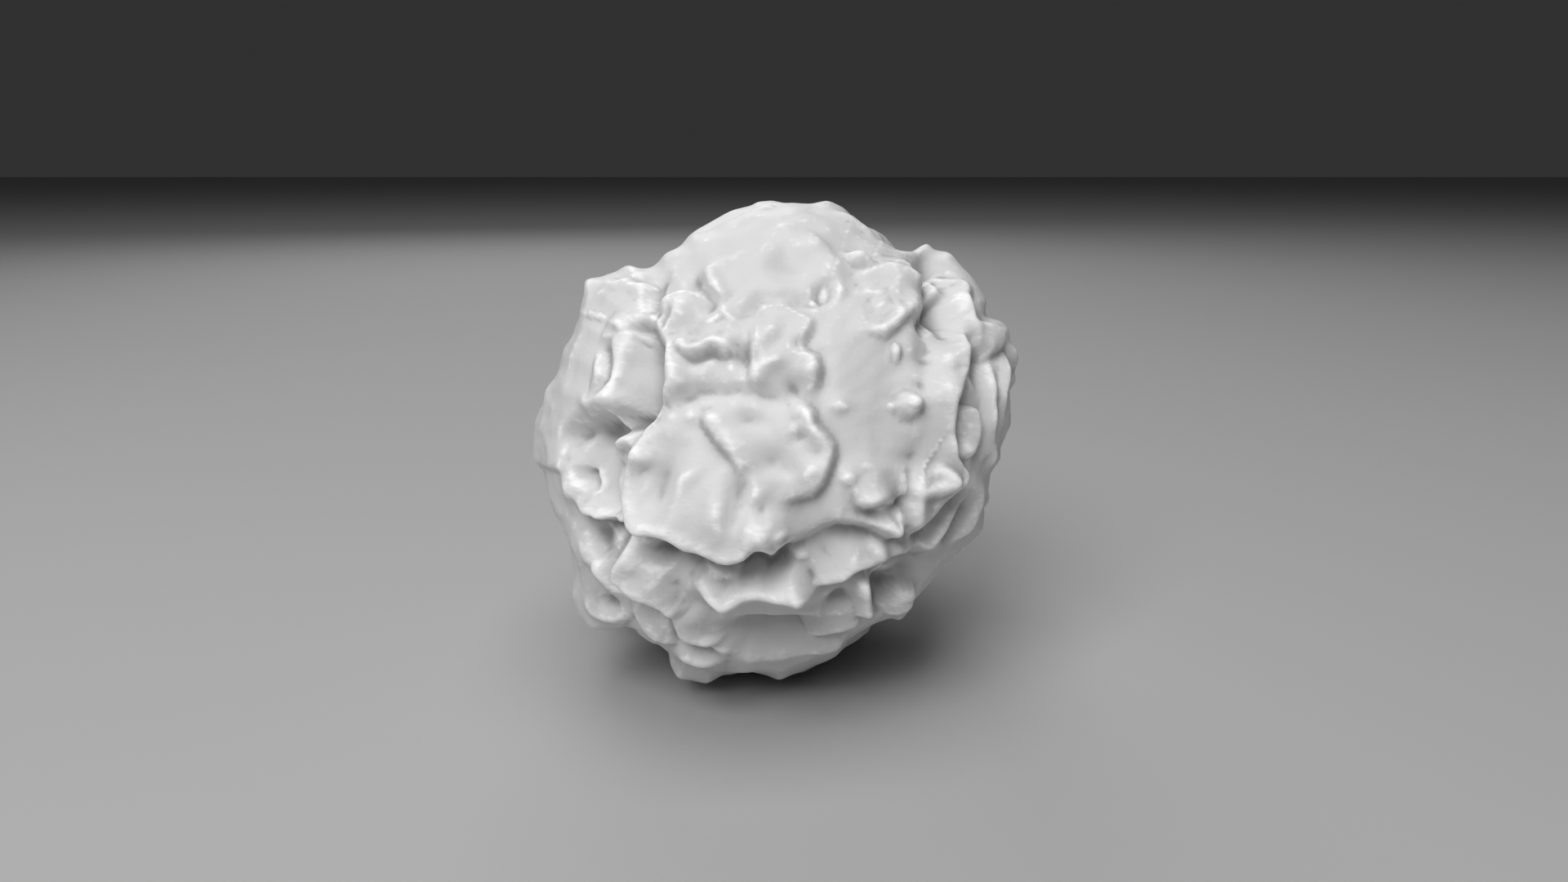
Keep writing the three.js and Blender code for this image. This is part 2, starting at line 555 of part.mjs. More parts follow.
// Slab, neck, pocket, cheek and ear on the left
function layLeftSide() {
  // left trough
  features.push(ledge({
    trail: [
      [-40.4, -22.4, -3], [-43, -17.6, -6.5], [-44.4, -12, -8], [-44.2, -8, -8], [-42.6, -2, -8],
      [-41, 2.6, -8], [-38.6, 5.8, -7.5], [-34.8, 7.4, -7.5], [-31.6, 10, -8.5], [-30.2, 15, -9],
      [-30.4, 20, -9], [-30.4, 25, -8.5], [-31.6, 29, -4], [-32.2, 31.4, -1],
    ],
    height: -9, run: 11.5, drop: 2.2, fade: 3,
  }));
  // slab
  features.push(block({
    trail: [
      [-54, 42.6], [-47.4, 41.4], [-42, 41.4], [-36, 40.4], [-31.4, 39.6], [-31, 36], [-31.2, 33],
      [-34, 31.4], [-37, 29.8], [-38.6, 28.8], [-40, 30], [-42, 31.3], [-45, 32.2], [-55, 34.4],
    ],
    height: 1.8, bevel: 1.2,
  }));
  // leg
  features.push(block({
    trail: [
      [-56, 32.8], [-45, 31.4], [-41, 30.2], [-37.6, 29], [-36.4, 27.4], [-36.8, 25], [-38, 22],
      [-39.2, 18], [-41, 14.5], [-43, 11], [-46, 8], [-49.4, 5], [-51.4, 0], [-54, -6], [-64, -4],
      [-65, 4], [-63.5, 9], [-60.5, 15], [-57.5, 20], [-56, 27],
    ],
    height: 1.4, bevel: 1.4,
  }));
  // slab gap
  features.push(groove({
    trail: [[-31, 40.4], [-30.6, 37], [-30.8, 33], [-31.2, 29.6]],
    depth: 3, width: 2.2, fade: 2,
  }));
  // slab rim
  features.push(ridge({
    trail: [[-46.4, 40.4], [-43, 40.8], [-38, 40.1], [-34, 39.2], [-31.8, 38.6]],
    height: 0.6, width: 1.6, sharp: 1, fade: 2,
  }));
  // neck
  features.push(ridge({
    trail: [
      [-33.4, 30.2, 2], [-34.8, 27, 3.6], [-34.8, 22, 4.6], [-35.2, 17, 5], [-37.2, 13, 5.4],
      [-38.8, 10.2, 5.4], [-40, 7.4, 4],
    ],
    height: 5.4, width: 6, sharp: 0.75, fade: 2, rounding: 2.6,
  }));
  // neck gap
  features.push(groove({
    trail: [[-42.2, 27], [-43, 24], [-43, 20], [-43.4, 17], [-45.6, 14], [-48.4, 11]],
    depth: 2.8, width: 2.2, fade: 2,
  }));
  // neck valley
  features.push(groove({
    trail: [[-31.8, 28], [-30.6, 24], [-29.6, 20], [-29.6, 16]],
    depth: 1, width: 2.4,
  }));
  features.push(lobe({ at: [-32.6, 24.6], height: -1.2, across: 1.6, up: 1.2, turn: -40 })); // ear nick
  // lip
  features.push(ledge({
    trail: [
      [-49.6, 6.8, 2.4], [-47.4, 8.4, 4], [-43, 8.6, 5], [-40, 7.4, 6], [-38, 5.2, 6], [-38.4, 3.6, 4],
    ],
    height: 6, run: 6, drop: 2.2, fade: 1.5, ditch: 1,
  }));
  features.push(lobe({ at: [-44, 3], height: -4, across: 6.4, up: 5, turn: -15 })); // pocket
  features.push(lobe({ at: [-50, -11.5], height: 3, across: 8.5, up: 8 })); // cheek block
  // pocket slot
  features.push(groove({
    trail: [[-50.4, 6], [-51.2, 2], [-51.4, -2]],
    depth: 3.4, width: 2.2, fade: 2,
  }));
  // pocket floor
  features.push(ridge({
    trail: [[-47, -6, 1.4], [-44.6, -8], [-42.2, -8.8], [-40.6, -8.4, 2]],
    height: 2.6, width: 4.4, sharp: 1, fade: 2,
  }));
  features.push(lobe({ at: [-48, -8.8], height: -5, across: 4.4, up: 2.2, turn: -32 })); // pocket hole
  // cheek edge
  features.push(ledge({
    trail: [
      [-55.4, -14, 1], [-54, -17, 2.5], [-51.5, -18.8, 4.5], [-49, -18.7, 6], [-46, -19.2, 7],
      [-43, -18.9, 7], [-40.6, -20.2, 6.5], [-38.8, -22.2, 5],
    ],
    height: 8, run: 9, drop: 2.6, fade: 3, ditch: 2.4,
  }));
  // cheek crest
  features.push(ridge({
    trail: [[-47.6, -15.6], [-45, -17], [-42, -17.4]],
    height: 1.2, width: 2.6, sharp: 1,
  }));
  features.push(lobe({ at: [-44.4, -25], height: -3.5, across: 5.4, up: 5.6 })); // cheek recess
  // ear edge
  features.push(ledge({
    trail: [
      [-38, -39.4, 1], [-41.6, -36.4, 2.4], [-43.9, -33, 3], [-44.9, -30, 3], [-47, -26, 2.6],
      [-49.6, -21.8, 1.6],
    ],
    height: 3, run: 5, drop: 2, fade: 2,
  }));
  features.push(lobe({ at: [-41.6, -40.4], height: -2.8, across: 3.4, up: 4, turn: -35 })); // ear dish
  // ear rim
  features.push(ridge({
    trail: [[-49, -38], [-46.6, -42.6], [-42, -44.6], [-38.4, -43]],
    height: 1.8, width: 2.4, sharp: 1,
  }));
  features.push(lobe({ at: [-46.4, -31.4], height: 1.2, across: 1.4, up: 2 })); // ear knob
  features.push(lobe({ at: [-36, 42.6], height: 2, across: 4, up: 2.4 })); // behind slab
}

// Tilted top plate with its pit, and the summit behind it
function layCrown() {
  // crown left
  features.push(ledge({
    trail: [
      [-13, 46.4, 0.4], [-16, 45.4, 1], [-18.2, 43.6, 1.6], [-17.4, 41.4, 2.2], [-16, 39.4, 2.2],
      [-14.4, 37.6, 1.4], [-13, 36.2, 0.4],
    ],
    height: 2.2, run: 6, drop: 2.6, fade: 1.5, ditch: 0.6,
  }));
  // plate crest
  features.push(ridge({
    trail: [
      [-17, 44, 0.8], [-12, 45.6, 1.4], [-8, 47.2], [-4, 49.4], [-1, 52], [2, 53], [5, 52.6], [8, 50.8],
      [12, 48.2], [15, 45.4], [19, 43.4],
    ],
    height: 1.8, width: 7, sharp: 1.2,
  }));
  features.push(lobe({ at: [-19.6, 40], height: -1.2, across: 3.4, up: 4, turn: 25 })); // crown shade
  // crown valley
  features.push(groove({
    trail: [
      [-24, 38.4, 0.7], [-21, 37.6, 1], [-18, 35.8, 1.4], [-14, 33.4, 1.7], [-10, 32, 1.8],
      [-7, 32.8, 1.8], [-4, 35.4, 1.4], [0, 35.2, 1.2], [5, 34.6, 1], [10, 34.4, 0.7],
    ],
    depth: 1.8, width: 3,
  }));
  features.push(lobe({ at: [12, 38.8], height: -2.8, across: 3.4, up: 5, turn: -24 })); // crown pit
  features.push(lobe({ at: [11.4, 36.6], height: 1.8, across: 1.6, up: 2.6, turn: -10 })); // pit lump
  features.push(lobe({ at: [9, 35.2], height: 1.2, across: 1.3 })); // pit pebble
  // pit rim
  features.push(ridge({
    trail: [[15.6, 43], [15.4, 38.6], [13.6, 35.2]],
    height: 0.9, width: 1.8, sharp: 1, fade: 2,
  }));
  // pit foot
  features.push(groove({
    trail: [[4, 36.4], [8, 34.8], [12, 34.4]],
    depth: 0.8, width: 1.6, fade: 2,
  }));
  features.push(lobe({ at: [2, 44], height: -1.2, across: 8, up: 6, turn: -15 })); // plate hollow
  // summit valley
  features.push(groove({
    trail: [
      [-16, 47], [-11, 48.6], [-7, 49.4], [-3, 52.2], [0, 54.6], [3, 54.8], [8, 53], [14, 49.8],
      [18.6, 45.8],
    ],
    depth: 1.2, width: 5,
  }));
  // summit ridge
  features.push(ridge({
    trail: [[13.6, 57.6], [17, 56], [20, 54.4], [22.6, 52.2], [24.6, 50.4]],
    height: 1.2, width: 2, sharp: 1, fade: 2,
  }));
  features.push(lobe({ at: [21.2, 47.4], height: 3.6, across: 4.4, up: 2.6, turn: -12 })); // summit lump
  // summit swell
  features.push(ridge({
    trail: [[-20.5, 50.6], [-18, 51], [-15.6, 50.8]],
    height: 0.8, width: 3, sharp: 1,
  }));
  // crown fold
  features.push(groove({
    trail: [[-30.4, 35], [-29.4, 37.6], [-28.4, 40.4], [-28.8, 42.6]],
    depth: 1.2, width: 1.8, fade: 2,
  }));
  features.push(lobe({ at: [-3, 58], height: 1, across: 2.6, up: 1.4 })); // summit crumb
}

// Overhanging brow on the left of the face, with the cave under it
function layBrow() {
  // brow
  features.push(ledge({
    trail: [
      [-26.4, 27.4, 0.6], [-25.4, 25.6, 1.6], [-24, 24, 2.3], [-22.4, 23.4, 2.8], [-20.4, 23.6, 2.8],
      [-18.6, 24.4, 2.8], [-16.6, 25, 2.8], [-15, 24.6, 2.8], [-13.4, 23.6, 2.7], [-11.4, 23.5, 2],
      [-9.8, 24.2, 0.8],
    ],
    height: 2.8, run: 6, drop: 1.2, fade: 1.5, ditch: 0.8,
  }));
  // brow shoulder
  features.push(ledge({
    trail: [
      [-15.6, 34.4, 0.8], [-18.4, 36, 1.4], [-21, 37.2, 2], [-24, 37.8, 2.4], [-26.6, 36.8, 2.6],
      [-29, 34.4, 2.6], [-30.6, 31.6, 2.2], [-31.6, 29, 1],
    ],
    height: 2.6, run: 10, drop: 2, fade: 2,
  }));
  // brow rim
  features.push(ridge({
    trail: [
      [-24.8, 29], [-24.6, 26.6], [-23.4, 24.6], [-21.4, 24.1], [-18.4, 25.2], [-16.4, 25.6],
      [-14.4, 24.8], [-11.6, 24],
    ],
    height: 0.9, width: 1.5, sharp: 1, fade: 1.5,
  }));
  // brow peak
  features.push(ridge({
    trail: [[-25.4, 36.4], [-24, 32.6], [-23.8, 29]],
    height: 1, width: 2, sharp: 1, fade: 2,
  }));
  // brow flake
  features.push(ridge({
    trail: [[-29.8, 31.8], [-29.4, 30], [-30.8, 28.4]],
    height: 1.2, width: 1.4, sharp: 1, fade: 1,
  }));
  features.push(lobe({ at: [-27.6, 32.6], height: -1.4, across: 1.8, up: 3, turn: -30 })); // brow hollow
  // brow crest
  features.push(ledge({
    trail: [[-19, 30.6, 0.4], [-16.4, 30.6, 0.9], [-13.6, 32, 1], [-11, 30.6, 0.9], [-8.6, 30.2, 0.4]],
    height: 1, run: 3, drop: 1.2, fade: 1.5,
  }));
  // brow crease
  features.push(groove({
    trail: [[-17.6, 27], [-14.4, 27.6], [-11.2, 28.4]],
    depth: 0.7, width: 1.6, fade: 2,
  }));
  features.push(lobe({ at: [-29.4, 30.6], height: -1.6, across: 1.6, up: 2 })); // brow notch
  // temple
  features.push(ledge({
    trail: [
      [-27.4, 28.4, 1], [-26.6, 24, 2.4], [-27.1, 20, 2.8], [-26.8, 16, 2.8], [-28, 12.6, 2.2],
      [-29.2, 10.2, 1],
    ],
    height: 2.8, run: 6, drop: 3, fade: 2,
  }));
  // temple crest
  features.push(ridge({
    trail: [[-26, 23], [-26.2, 19], [-26, 16], [-27.4, 12.6]],
    height: 1, width: 1.8, sharp: 1, fade: 2,
  }));
  // cave shade
  features.push(groove({
    trail: [[-20.4, 22], [-18, 22.9], [-15.4, 23.4], [-12.6, 22]],
    depth: 0.8, width: 1.6, fade: 1.5,
  }));
  // cave crest
  features.push(ridge({
    trail: [[-21.4, 19.4], [-18.6, 18], [-16.2, 17]],
    height: 0.7, width: 2.4, sharp: 1, fade: 2,
  }));
  // brow slit
  features.push(groove({
    trail: [[-8.5, 25.6], [-7.5, 21], [-7.4, 16.2]],
    depth: 3, width: 3, fade: 2,
  }));
  // face fold
  features.push(groove({
    trail: [
      [-29.4, 10, 0.6], [-25, 9.8], [-22, 11], [-19.6, 12.6], [-16.6, 13.1], [-13.6, 12.7], [-10, 12.9],
      [-6, 12.7], [-2, 11.7], [2, 11, 0.7], [6, 10.6, 0.4],
    ],
    depth: 1.2, width: 2.2,
  }));
}

// Lumpy band down the middle of the face
function layNose() {
  // nose right
  features.push(ledge({
    trail: [
      [5, 12.4, 0.4], [8, 13.8, 1.2], [9.5, 15.8, 1.8], [10, 18.6, 2.1], [9.2, 21.4, 2],
      [6.8, 22.7, 1.7], [5.5, 24.6, 1.7], [5.9, 26.7, 1.7], [7.5, 29, 1.5], [8, 31.5, 1.1],
      [4.8, 33.4, 0.9], [1, 34.9, 1.1], [-3.4, 34.6, 0.9], [-5.6, 32.4, 0.4],
    ],
    height: 2.1, run: 9, drop: 1.8, fade: 2, ditch: 0.4,
  }));
  // nose left
  features.push(ledge({
    trail: [[-5.2, 31, 0.8], [-5.6, 26, 2], [-6, 21, 2.4], [-6, 17, 2.2], [-4.8, 13.6, 0.8]],
    height: 2.4, run: 5, drop: 1.6, fade: 2,
  }));
  // nose crest one
  features.push(ridge({
    trail: [[-3.6, 31.6], [-1.6, 29], [-0.6, 26]],
    height: 1.4, width: 2.6, sharp: 1, fade: 2,
  }));
  // nose crest two
  features.push(ridge({
    trail: [[-2.4, 23.6], [-0.8, 21], [1.6, 19]],
    height: 1.4, width: 2.6, sharp: 1, fade: 2,
  }));
  // nose crest three
  features.push(ridge({
    trail: [[6.6, 21.2], [8.6, 19], [8.4, 16]],
    height: 1.2, width: 1.8, sharp: 1, fade: 1.5,
  }));
  // nose dent
  features.push(groove({
    trail: [[3, 25.4], [5, 25.2], [6.4, 27.4]],
    depth: 1.2, width: 1.8, fade: 1,
  }));
  features.push(lobe({ at: [4.6, 13.8], height: -1.4, across: 4.2, up: 3, turn: -25 })); // nose foot
  // nose tip
  features.push(ridge({
    trail: [[9.4, 30.4], [11.6, 29.4]],
    height: 1, width: 1.6, fade: 1,
  }));
}

// Shoulder and pillar on the right
function layRightSide() {
  // right trough
  features.push(ledge({
    trail: [
      [20, 46.5, -1], [27, 47.6, -2], [34, 47, -3], [38, 43.4, -4], [39.8, 38.6, -4.6],
      [38, 34.4, -4.6], [37, 28, -3.4], [37.4, 21, -2],
    ],
    height: -4.6, run: 11, drop: 4.4, fade: 4,
  }));
  // shoulder
  features.push(ledge({
    trail: [
      [33.8, 33, 0.6], [35.4, 33.4, 1.8], [37.2, 35, 3.2], [38, 36.8, 3.6], [36.8, 39.4, 3.3],
      [35.8, 42.4, 2.8], [33, 44.8, 2.2], [28, 45.6, 1.7], [23, 44.6, 1.2], [19.6, 43, 0.8],
    ],
    height: 3.6, run: 14, drop: 2.2, fade: 2, ditch: 0.8,
  }));
  // shoulder crease
  features.push(groove({
    trail: [[32, 40], [35, 39.6], [37, 38.6]],
    depth: 0.8, width: 2, fade: 2,
  }));
  // chip
  features.push(ledge({
    trail: [
      [21.6, 28.6, 0.4], [23.5, 27.6, 0.8], [26.4, 27.2, 1.1], [28.8, 29, 1.2], [30.6, 30.8, 1.2],
      [32.2, 32.4, 1.2], [33.2, 34, 1], [32, 35.8, 0.4],
    ],
    height: 1.2, run: 6, drop: 1, fade: 1.5, ditch: 0.2,
  }));
  // chip rim
  features.push(ridge({
    trail: [[23, 28.3], [26.2, 28], [28.6, 29.8], [30.4, 31.6], [32.4, 33.6]],
    height: 0.7, width: 1.5, sharp: 1, fade: 1,
  }));
  // chip crest
  features.push(ridge({
    trail: [[20.8, 39.6], [22.4, 38.2], [25, 37.8], [25.8, 35], [26.8, 32]],
    height: 0.9, width: 1.8, sharp: 1, fade: 2,
  }));
  features.push(lobe({ at: [29.8, 23], height: 2.6, across: 1.2, up: 2.6 })); // tear
  // shoulder fold
  features.push(groove({
    trail: [[35.4, 32.6], [34.9, 29.4], [34.8, 26.2]],
    depth: 1, width: 1.4, fade: 2,
  }));
  // pillar valley
  features.push(groove({
    trail: [[38.6, 45.4], [38.3, 41], [39, 36], [40.6, 31.4], [43.6, 28], [47, 25.2]],
    depth: 4, width: 4.4,
  }));
  // pillar crest
  features.push(ridge({
    trail: [[37.4, 44.8], [41, 44.4], [44, 43], [46.6, 40.4], [47.6, 36.6], [48.8, 32.4], [49.6, 28]],
    height: 2.8, width: 2.6, sharp: 1,
  }));
  features.push(lobe({ at: [42.6, 41.4], height: -3, across: 2.8, up: 1.8 })); // pillar pit
  // pillar fold
  features.push(ridge({
    trail: [[43, 38.6], [45.6, 37.4], [46.4, 34.4], [47.6, 32.6]],
    height: 1.2, width: 1.8, sharp: 1, fade: 2,
  }));
  // pillar facets
  features.push(ridge({
    trail: [[38.6, 23.4], [42.6, 22], [47.4, 22.6]],
    height: 1.4, width: 2.6, sharp: 1, fade: 2,
  }));
  // pillar shade
  features.push(groove({
    trail: [[36.4, 25], [37.2, 20.6], [36.8, 15]],
    depth: 1.8, width: 4,
  }));
  features.push(lobe({ at: [42.6, 15], height: 1.6, across: 4.4, up: 7 })); // pillar swell
  features.push(lobe({ at: [34.4, 10.6], height: 3.8, across: 3, up: 3.2 })); // knob
  // knob crest
  features.push(ridge({
    trail: [[36.6, 12.2], [35.2, 10], [33.8, 8], [32.6, 5.6]],
    height: 1.6, width: 2.4, sharp: 1, fade: 1,
  }));
  // knob shade
  features.push(groove({
    trail: [[32.4, 13.8], [35.4, 14.2], [38.6, 12]],
    depth: 1, width: 1.6, fade: 1.5,
  }));
  features.push(lobe({ at: [28.6, 9.4], height: 0.8, across: 1.4, up: 1.2 })); // knob small
  // cheek bump
  features.push(ridge({
    trail: [[11, 9], [15.4, 9.8], [20, 8.6]],
    height: 0.8, width: 2.6, sharp: 1,
  }));
  features.push(lobe({ at: [15.6, 9.3], height: 0.7, across: 2.6, up: 1.6 })); // cheek crumb
}

// Central plate and the smooth ground round it
function layFace() {
  // plate left
  features.push(ledge({
    trail: [
      [-18.2, 9, 0.4], [-17.8, 5, 1.7], [-14.8, 1.2, 2.2], [-11.6, -1.9, 2.2], [-9.7, -4.7, 1.8],
      [-8.6, -8, 0.6],
    ],
    height: 2.2, run: 8, drop: 1.5, fade: 2, ditch: 0.3,
  }));
  // plate right
  features.push(ledge({
    trail: [
      [-0.6, -14.2, 0.3], [4, -13.5, 1.2], [8.2, -12.3, 2.2], [10.7, -9.6, 2.8], [11.9, -6.6, 2.8],
      [13.3, -2.8, 2.8], [13.1, -0.3, 2.8], [9.9, 3.1, 2.7], [8.5, 5, 2.5], [8.3, 7.7, 2.2],
      [6, 9.4, 1.4], [3, 10.4, 0.5],
    ],
    height: 2.8, run: 10, drop: 1.6, fade: 2, ditch: 0.5,
  }));
  // plate heel
  features.push(ridge({
    trail: [[4.6, -5.6], [7.4, -7.4], [9.6, -8.6]],
    height: 1.4, width: 3.4, sharp: 1, fade: 2,
  }));
  // plate rim
  features.push(ridge({
    trail: [[3.2, 9.4], [6.4, 8.6], [8, 6.8], [8.4, 4.6], [10.6, 2.2], [13, -0.8]],
    height: 1.3, width: 1.9, sharp: 1, fade: 1.5,
  }));
  // plate notch
  features.push(groove({
    trail: [[2.4, -0.6], [5.4, 2], [8.4, 3]],
    depth: 1.2, width: 1.8, fade: 2,
  }));
  // plate notch crest
  features.push(ridge({
    trail: [[1.6, 0.8], [4.4, 3.4], [7.4, 4.8]],
    height: 0.8, width: 1.6, sharp: 1, fade: 1.5,
  }));
  // plate corner
  features.push(ridge({
    trail: [[-17.4, 9], [-16.6, 6.4], [-14.4, 3.4]],
    height: 1.2, width: 2.2, sharp: 1, fade: 2,
  }));
  features.push(lobe({ at: [-1, -4.6], height: -1.2, across: 6, up: 4, turn: -20 })); // plate dip
  features.push(lobe({ at: [-7, 5.6], height: -0.8, across: 5, up: 2.6 })); // plate dip upper
  // cheekbone
  features.push(ridge({
    trail: [[-29, 9.4], [-26, 7], [-22.6, 4]],
    height: 1.4, width: 4, sharp: 1,
  }));
  // cheekbone right
  features.push(ridge({
    trail: [[-22.6, 9.8], [-21.4, 7], [-19.6, 4.4]],
    height: 0.8, width: 2, sharp: 1, fade: 2,
  }));
  // corner crest
  features.push(ridge({
    trail: [[-37.8, 3], [-36, 0], [-34.4, -4], [-33.4, -6.6]],
    height: 2.2, width: 2.8, sharp: 1, fade: 2,
  }));
  // corner shade
  features.push(groove({
    trail: [[-39.4, -0.6], [-39.8, -5], [-40.2, -10]],
    depth: 2, width: 2.4,
  }));
  features.push(lobe({ at: [-29.4, -13], height: -2, across: 4.4, up: 9, turn: -12 })); // face valley
  // belly crest
  features.push(ridge({
    trail: [[-25.6, -3], [-23, -8], [-21.4, -12]],
    height: 1.4, width: 6, sharp: 1,
  }));
  features.push(lobe({ at: [-10, -15], height: -1.8, across: 3.6, up: 8, turn: -8 })); // face hollow
  features.push(lobe({ at: [-15, -17], height: 1.6, across: 5, up: 8 })); // face swell
  // lip
  features.push(ridge({
    trail: [[-9, -21.6], [-4.6, -22.8], [0, -22.6], [2.8, -22.4]],
    height: 1.8, width: 3.2, sharp: 1,
  }));
  features.push(lobe({ at: [1.2, -22.8], height: 1.6, across: 2, up: 1.4 })); // lip crumb
  // lip groove
  features.push(groove({
    trail: [[-8, -15.6], [-4, -16.6], [-0.6, -16]],
    depth: 1.2, width: 2, fade: 2,
  }));
  features.push(lobe({ at: [17.2, -8.4], height: 1.6, across: 2.2, up: 1.8 })); // face bead
  // small plate
  features.push(ledge({
    trail: [
      [18.2, -9.6, 0.4], [19.7, -12.8, 1.1], [20.2, -14.6, 1.7], [22, -15.8, 1.8], [24.1, -15.6, 1.8],
      [26.4, -14.3, 1.8], [28.8, -14.5, 1.8], [30.6, -12.4, 1.7], [31.3, -9, 1.2], [31.5, -5, 0.6],
    ],
    height: 1.8, run: 13, drop: 1.1, fade: 2, ditch: 0.8,
  }));
  // small plate rim
  features.push(ridge({
    trail: [[20.2, -13.4], [22.4, -14.2], [25.4, -14], [28.8, -12.8]],
    height: 1, width: 1.5, sharp: 1, fade: 1,
  }));
  // drip
  features.push(ridge({
    trail: [[35, -7, 1], [35.5, -11, 3], [35, -15, 4], [33.6, -19.4, 4.4], [31.8, -22.6, 4]],
    height: 4.4, width: 3.4, sharp: 1, fade: 2,
  }));
  features.push(lobe({ at: [23.4, -18.2], height: -2.4, across: 7, up: 2.6, turn: -10 })); // drip shade
  features.push(lobe({ at: [31.4, -16], height: -2, across: 1.8, up: 5, turn: 15 })); // drip hollow
  // spur
  features.push(block({
    trail: [
      [35.6, -12.6, 1.6], [40, -12.3, 3.4], [44, -10.8, 4], [44.8, -9.4, 4], [43.4, -7.6, 2.8],
      [41, -6.4, 1.6], [37.6, -8.2, 0.8],
    ],
    height: 3, bevel: 1.8,
  }));
  // spur crest
  features.push(ridge({
    trail: [[42.4, -1], [45.4, -4.4], [48.2, -7.2]],
    height: 2.8, width: 3, sharp: 1, fade: 2,
  }));
  // right hollow
  features.push(groove({
    trail: [[33, 2], [33.6, -3], [36, -5.6]],
    depth: 1.6, width: 4,
  }));
}

// Ribs and strips behind the right flank
function layRightBack() {
  // tooth
  features.push(block({
    trail: [
      [44.8, 8.6, 3], [47, 9, 3], [50, 8.5, 3], [50.2, 5, 3], [49.4, 1, 3], [48.4, -1.4, 3],
      [47, -2.8, 3], [45.8, -2.2, 3], [45, 0.6, 3], [44.3, 4, 3],
    ],
    height: 3, bevel: 1.2,
  }));
  // back corner
  features.push(block({
    trail: [
      [50.6, 30.4, 1.6], [53, 30, 2.4], [56.2, 28.2, 2.4], [55.8, 25, 2.4], [52.6, 22.6, 2],
      [50.6, 25.6, 1.6],
    ],
    height: 2.4, bevel: 1.6,
  }));
  // back gap
  features.push(groove({
    trail: [[50.2, 26.4], [51.4, 22], [50.8, 17], [51.4, 12]],
    depth: 2.6, width: 1.9,
  }));
  // back rib one
  features.push(ridge({
    trail: [[53.4, 21], [52.8, 16], [53.4, 10], [53.2, 4], [53.8, -3]],
    height: 2.4, width: 2.4, sharp: 1,
  }));
  // back rib two
  features.push(ridge({
    trail: [[56.6, 24], [56.8, 19], [55.6, 12], [56, 6]],
    height: 1.8, width: 2, sharp: 1,
  }));
  // back strip one
  features.push(ridge({
    trail: [[46.2, -12.6, 2], [43.8, -17, 3.4], [40.8, -22, 3.8], [38.6, -26, 3.4], [36.8, -28.8, 2]],
    height: 3.8, width: 2.8, sharp: 1, fade: 2,
  }));
  // back strip gap
  features.push(groove({
    trail: [[47.6, -12], [46.2, -16.6], [43.6, -22], [41, -25.8]],
    depth: 2.6, width: 1.8, fade: 2,
  }));
  // back strip two
  features.push(ridge({
    trail: [[51, -9], [50.4, -16], [47.8, -22], [43.4, -26]],
    height: 2.6, width: 3.2, sharp: 1,
  }));
  features.push(lobe({ at: [53.2, -4], height: 1.6, across: 2.4, up: 4 })); // back lobe
}

// ---- Features of the sides, back and underside, laid by seeded walks ----

// A direction on the hidden part of the stone, clear of the flat spot
function hiddenStart(random, frontmost) {
  for (;;) {
    const z = random(-1, frontmost);
    const angle = random(0, 2 * Math.PI);
    const ring = Math.sqrt(1 - z * z);
    const direction = new THREE.Vector3(ring * Math.cos(angle), ring * Math.sin(angle), z);
    if (direction.dot(UNDERSIDE) < 0.93) return direction;
  }
}

// A wandering course of corners over the skin
function wander(random, count, step, wobble) {
  const place = hiddenStart(random, 0.1);
  const guide = new THREE.Vector3(random(-1, 1), random(-1, 1), random(-1, 1));
  const heading = place.clone().cross(guide).normalize();
  const corners = [place.clone()];
  let turn = random(-1, 1) * wobble;
  while (corners.length < count) {
    turn = 0.7 * turn + random(-1, 1) * wobble;
    const sideways = place.clone().cross(heading);
    heading.multiplyScalar(Math.cos(turn)).addScaledVector(sideways, Math.sin(turn));
    place.addScaledVector(heading, (step * random(0.7, 1.3)) / MEAN_RADIUS).normalize();
    heading.addScaledVector(place, -place.dot(heading)).normalize();
    corners.push(place.clone());
  }
  return corners;
}

function withHeights(corners, height) {
  corners.forEach((corner) => {
    corner.height = height();
  });
  return corners;
}

function hiddenLedges(random, ranges) {
  const { count, fewest, extra, step, wobble, heights, unevenness, runs, drops, ditches, fade } = ranges;
  for (let made = 0; made < count; made += 1) {
    const corners = wander(random, fewest + Math.floor(random(0, extra)), step, wobble);
    const height = random(...heights);
    const directions = withHeights(corners, () => height * random(...unevenness));
    const [run, drop, ditch] = [random(...runs), random(...drops), random(...ditches)];
    hiddenFeatures.push(ledge({ directions, height, run, drop, ditch, fade }));
  }
}

function hiddenLobes(random, { count, narrowest, widest, flattest, lowest, highest, frontmost }) {
  for (let made = 0; made < count; made += 1) {
    const across = random(narrowest, widest);
    const up = across * random(...flattest);
    const height = random(lowest, highest);
    const turn = random(0, 180);
    hiddenFeatures.push(lobe({ direction: hiddenStart(random, frontmost), height, across, up, turn }));
  }
}

// Ridges, or grooves where the sign is negative
function hiddenRidges(random, { count, fewest, extra, step, wobble, sign, heights, widths, profile, fade }) {
  for (let made = 0; made < count; made += 1) {
    const corners = wander(random, fewest + Math.floor(random(0, extra)), step, wobble);
    const height = sign * random(...heights);
    const directions = withHeights(corners, () => height);
    hiddenFeatures.push(ridge({ directions, height, width: random(...widths), fade, ...profile }));
  }
}

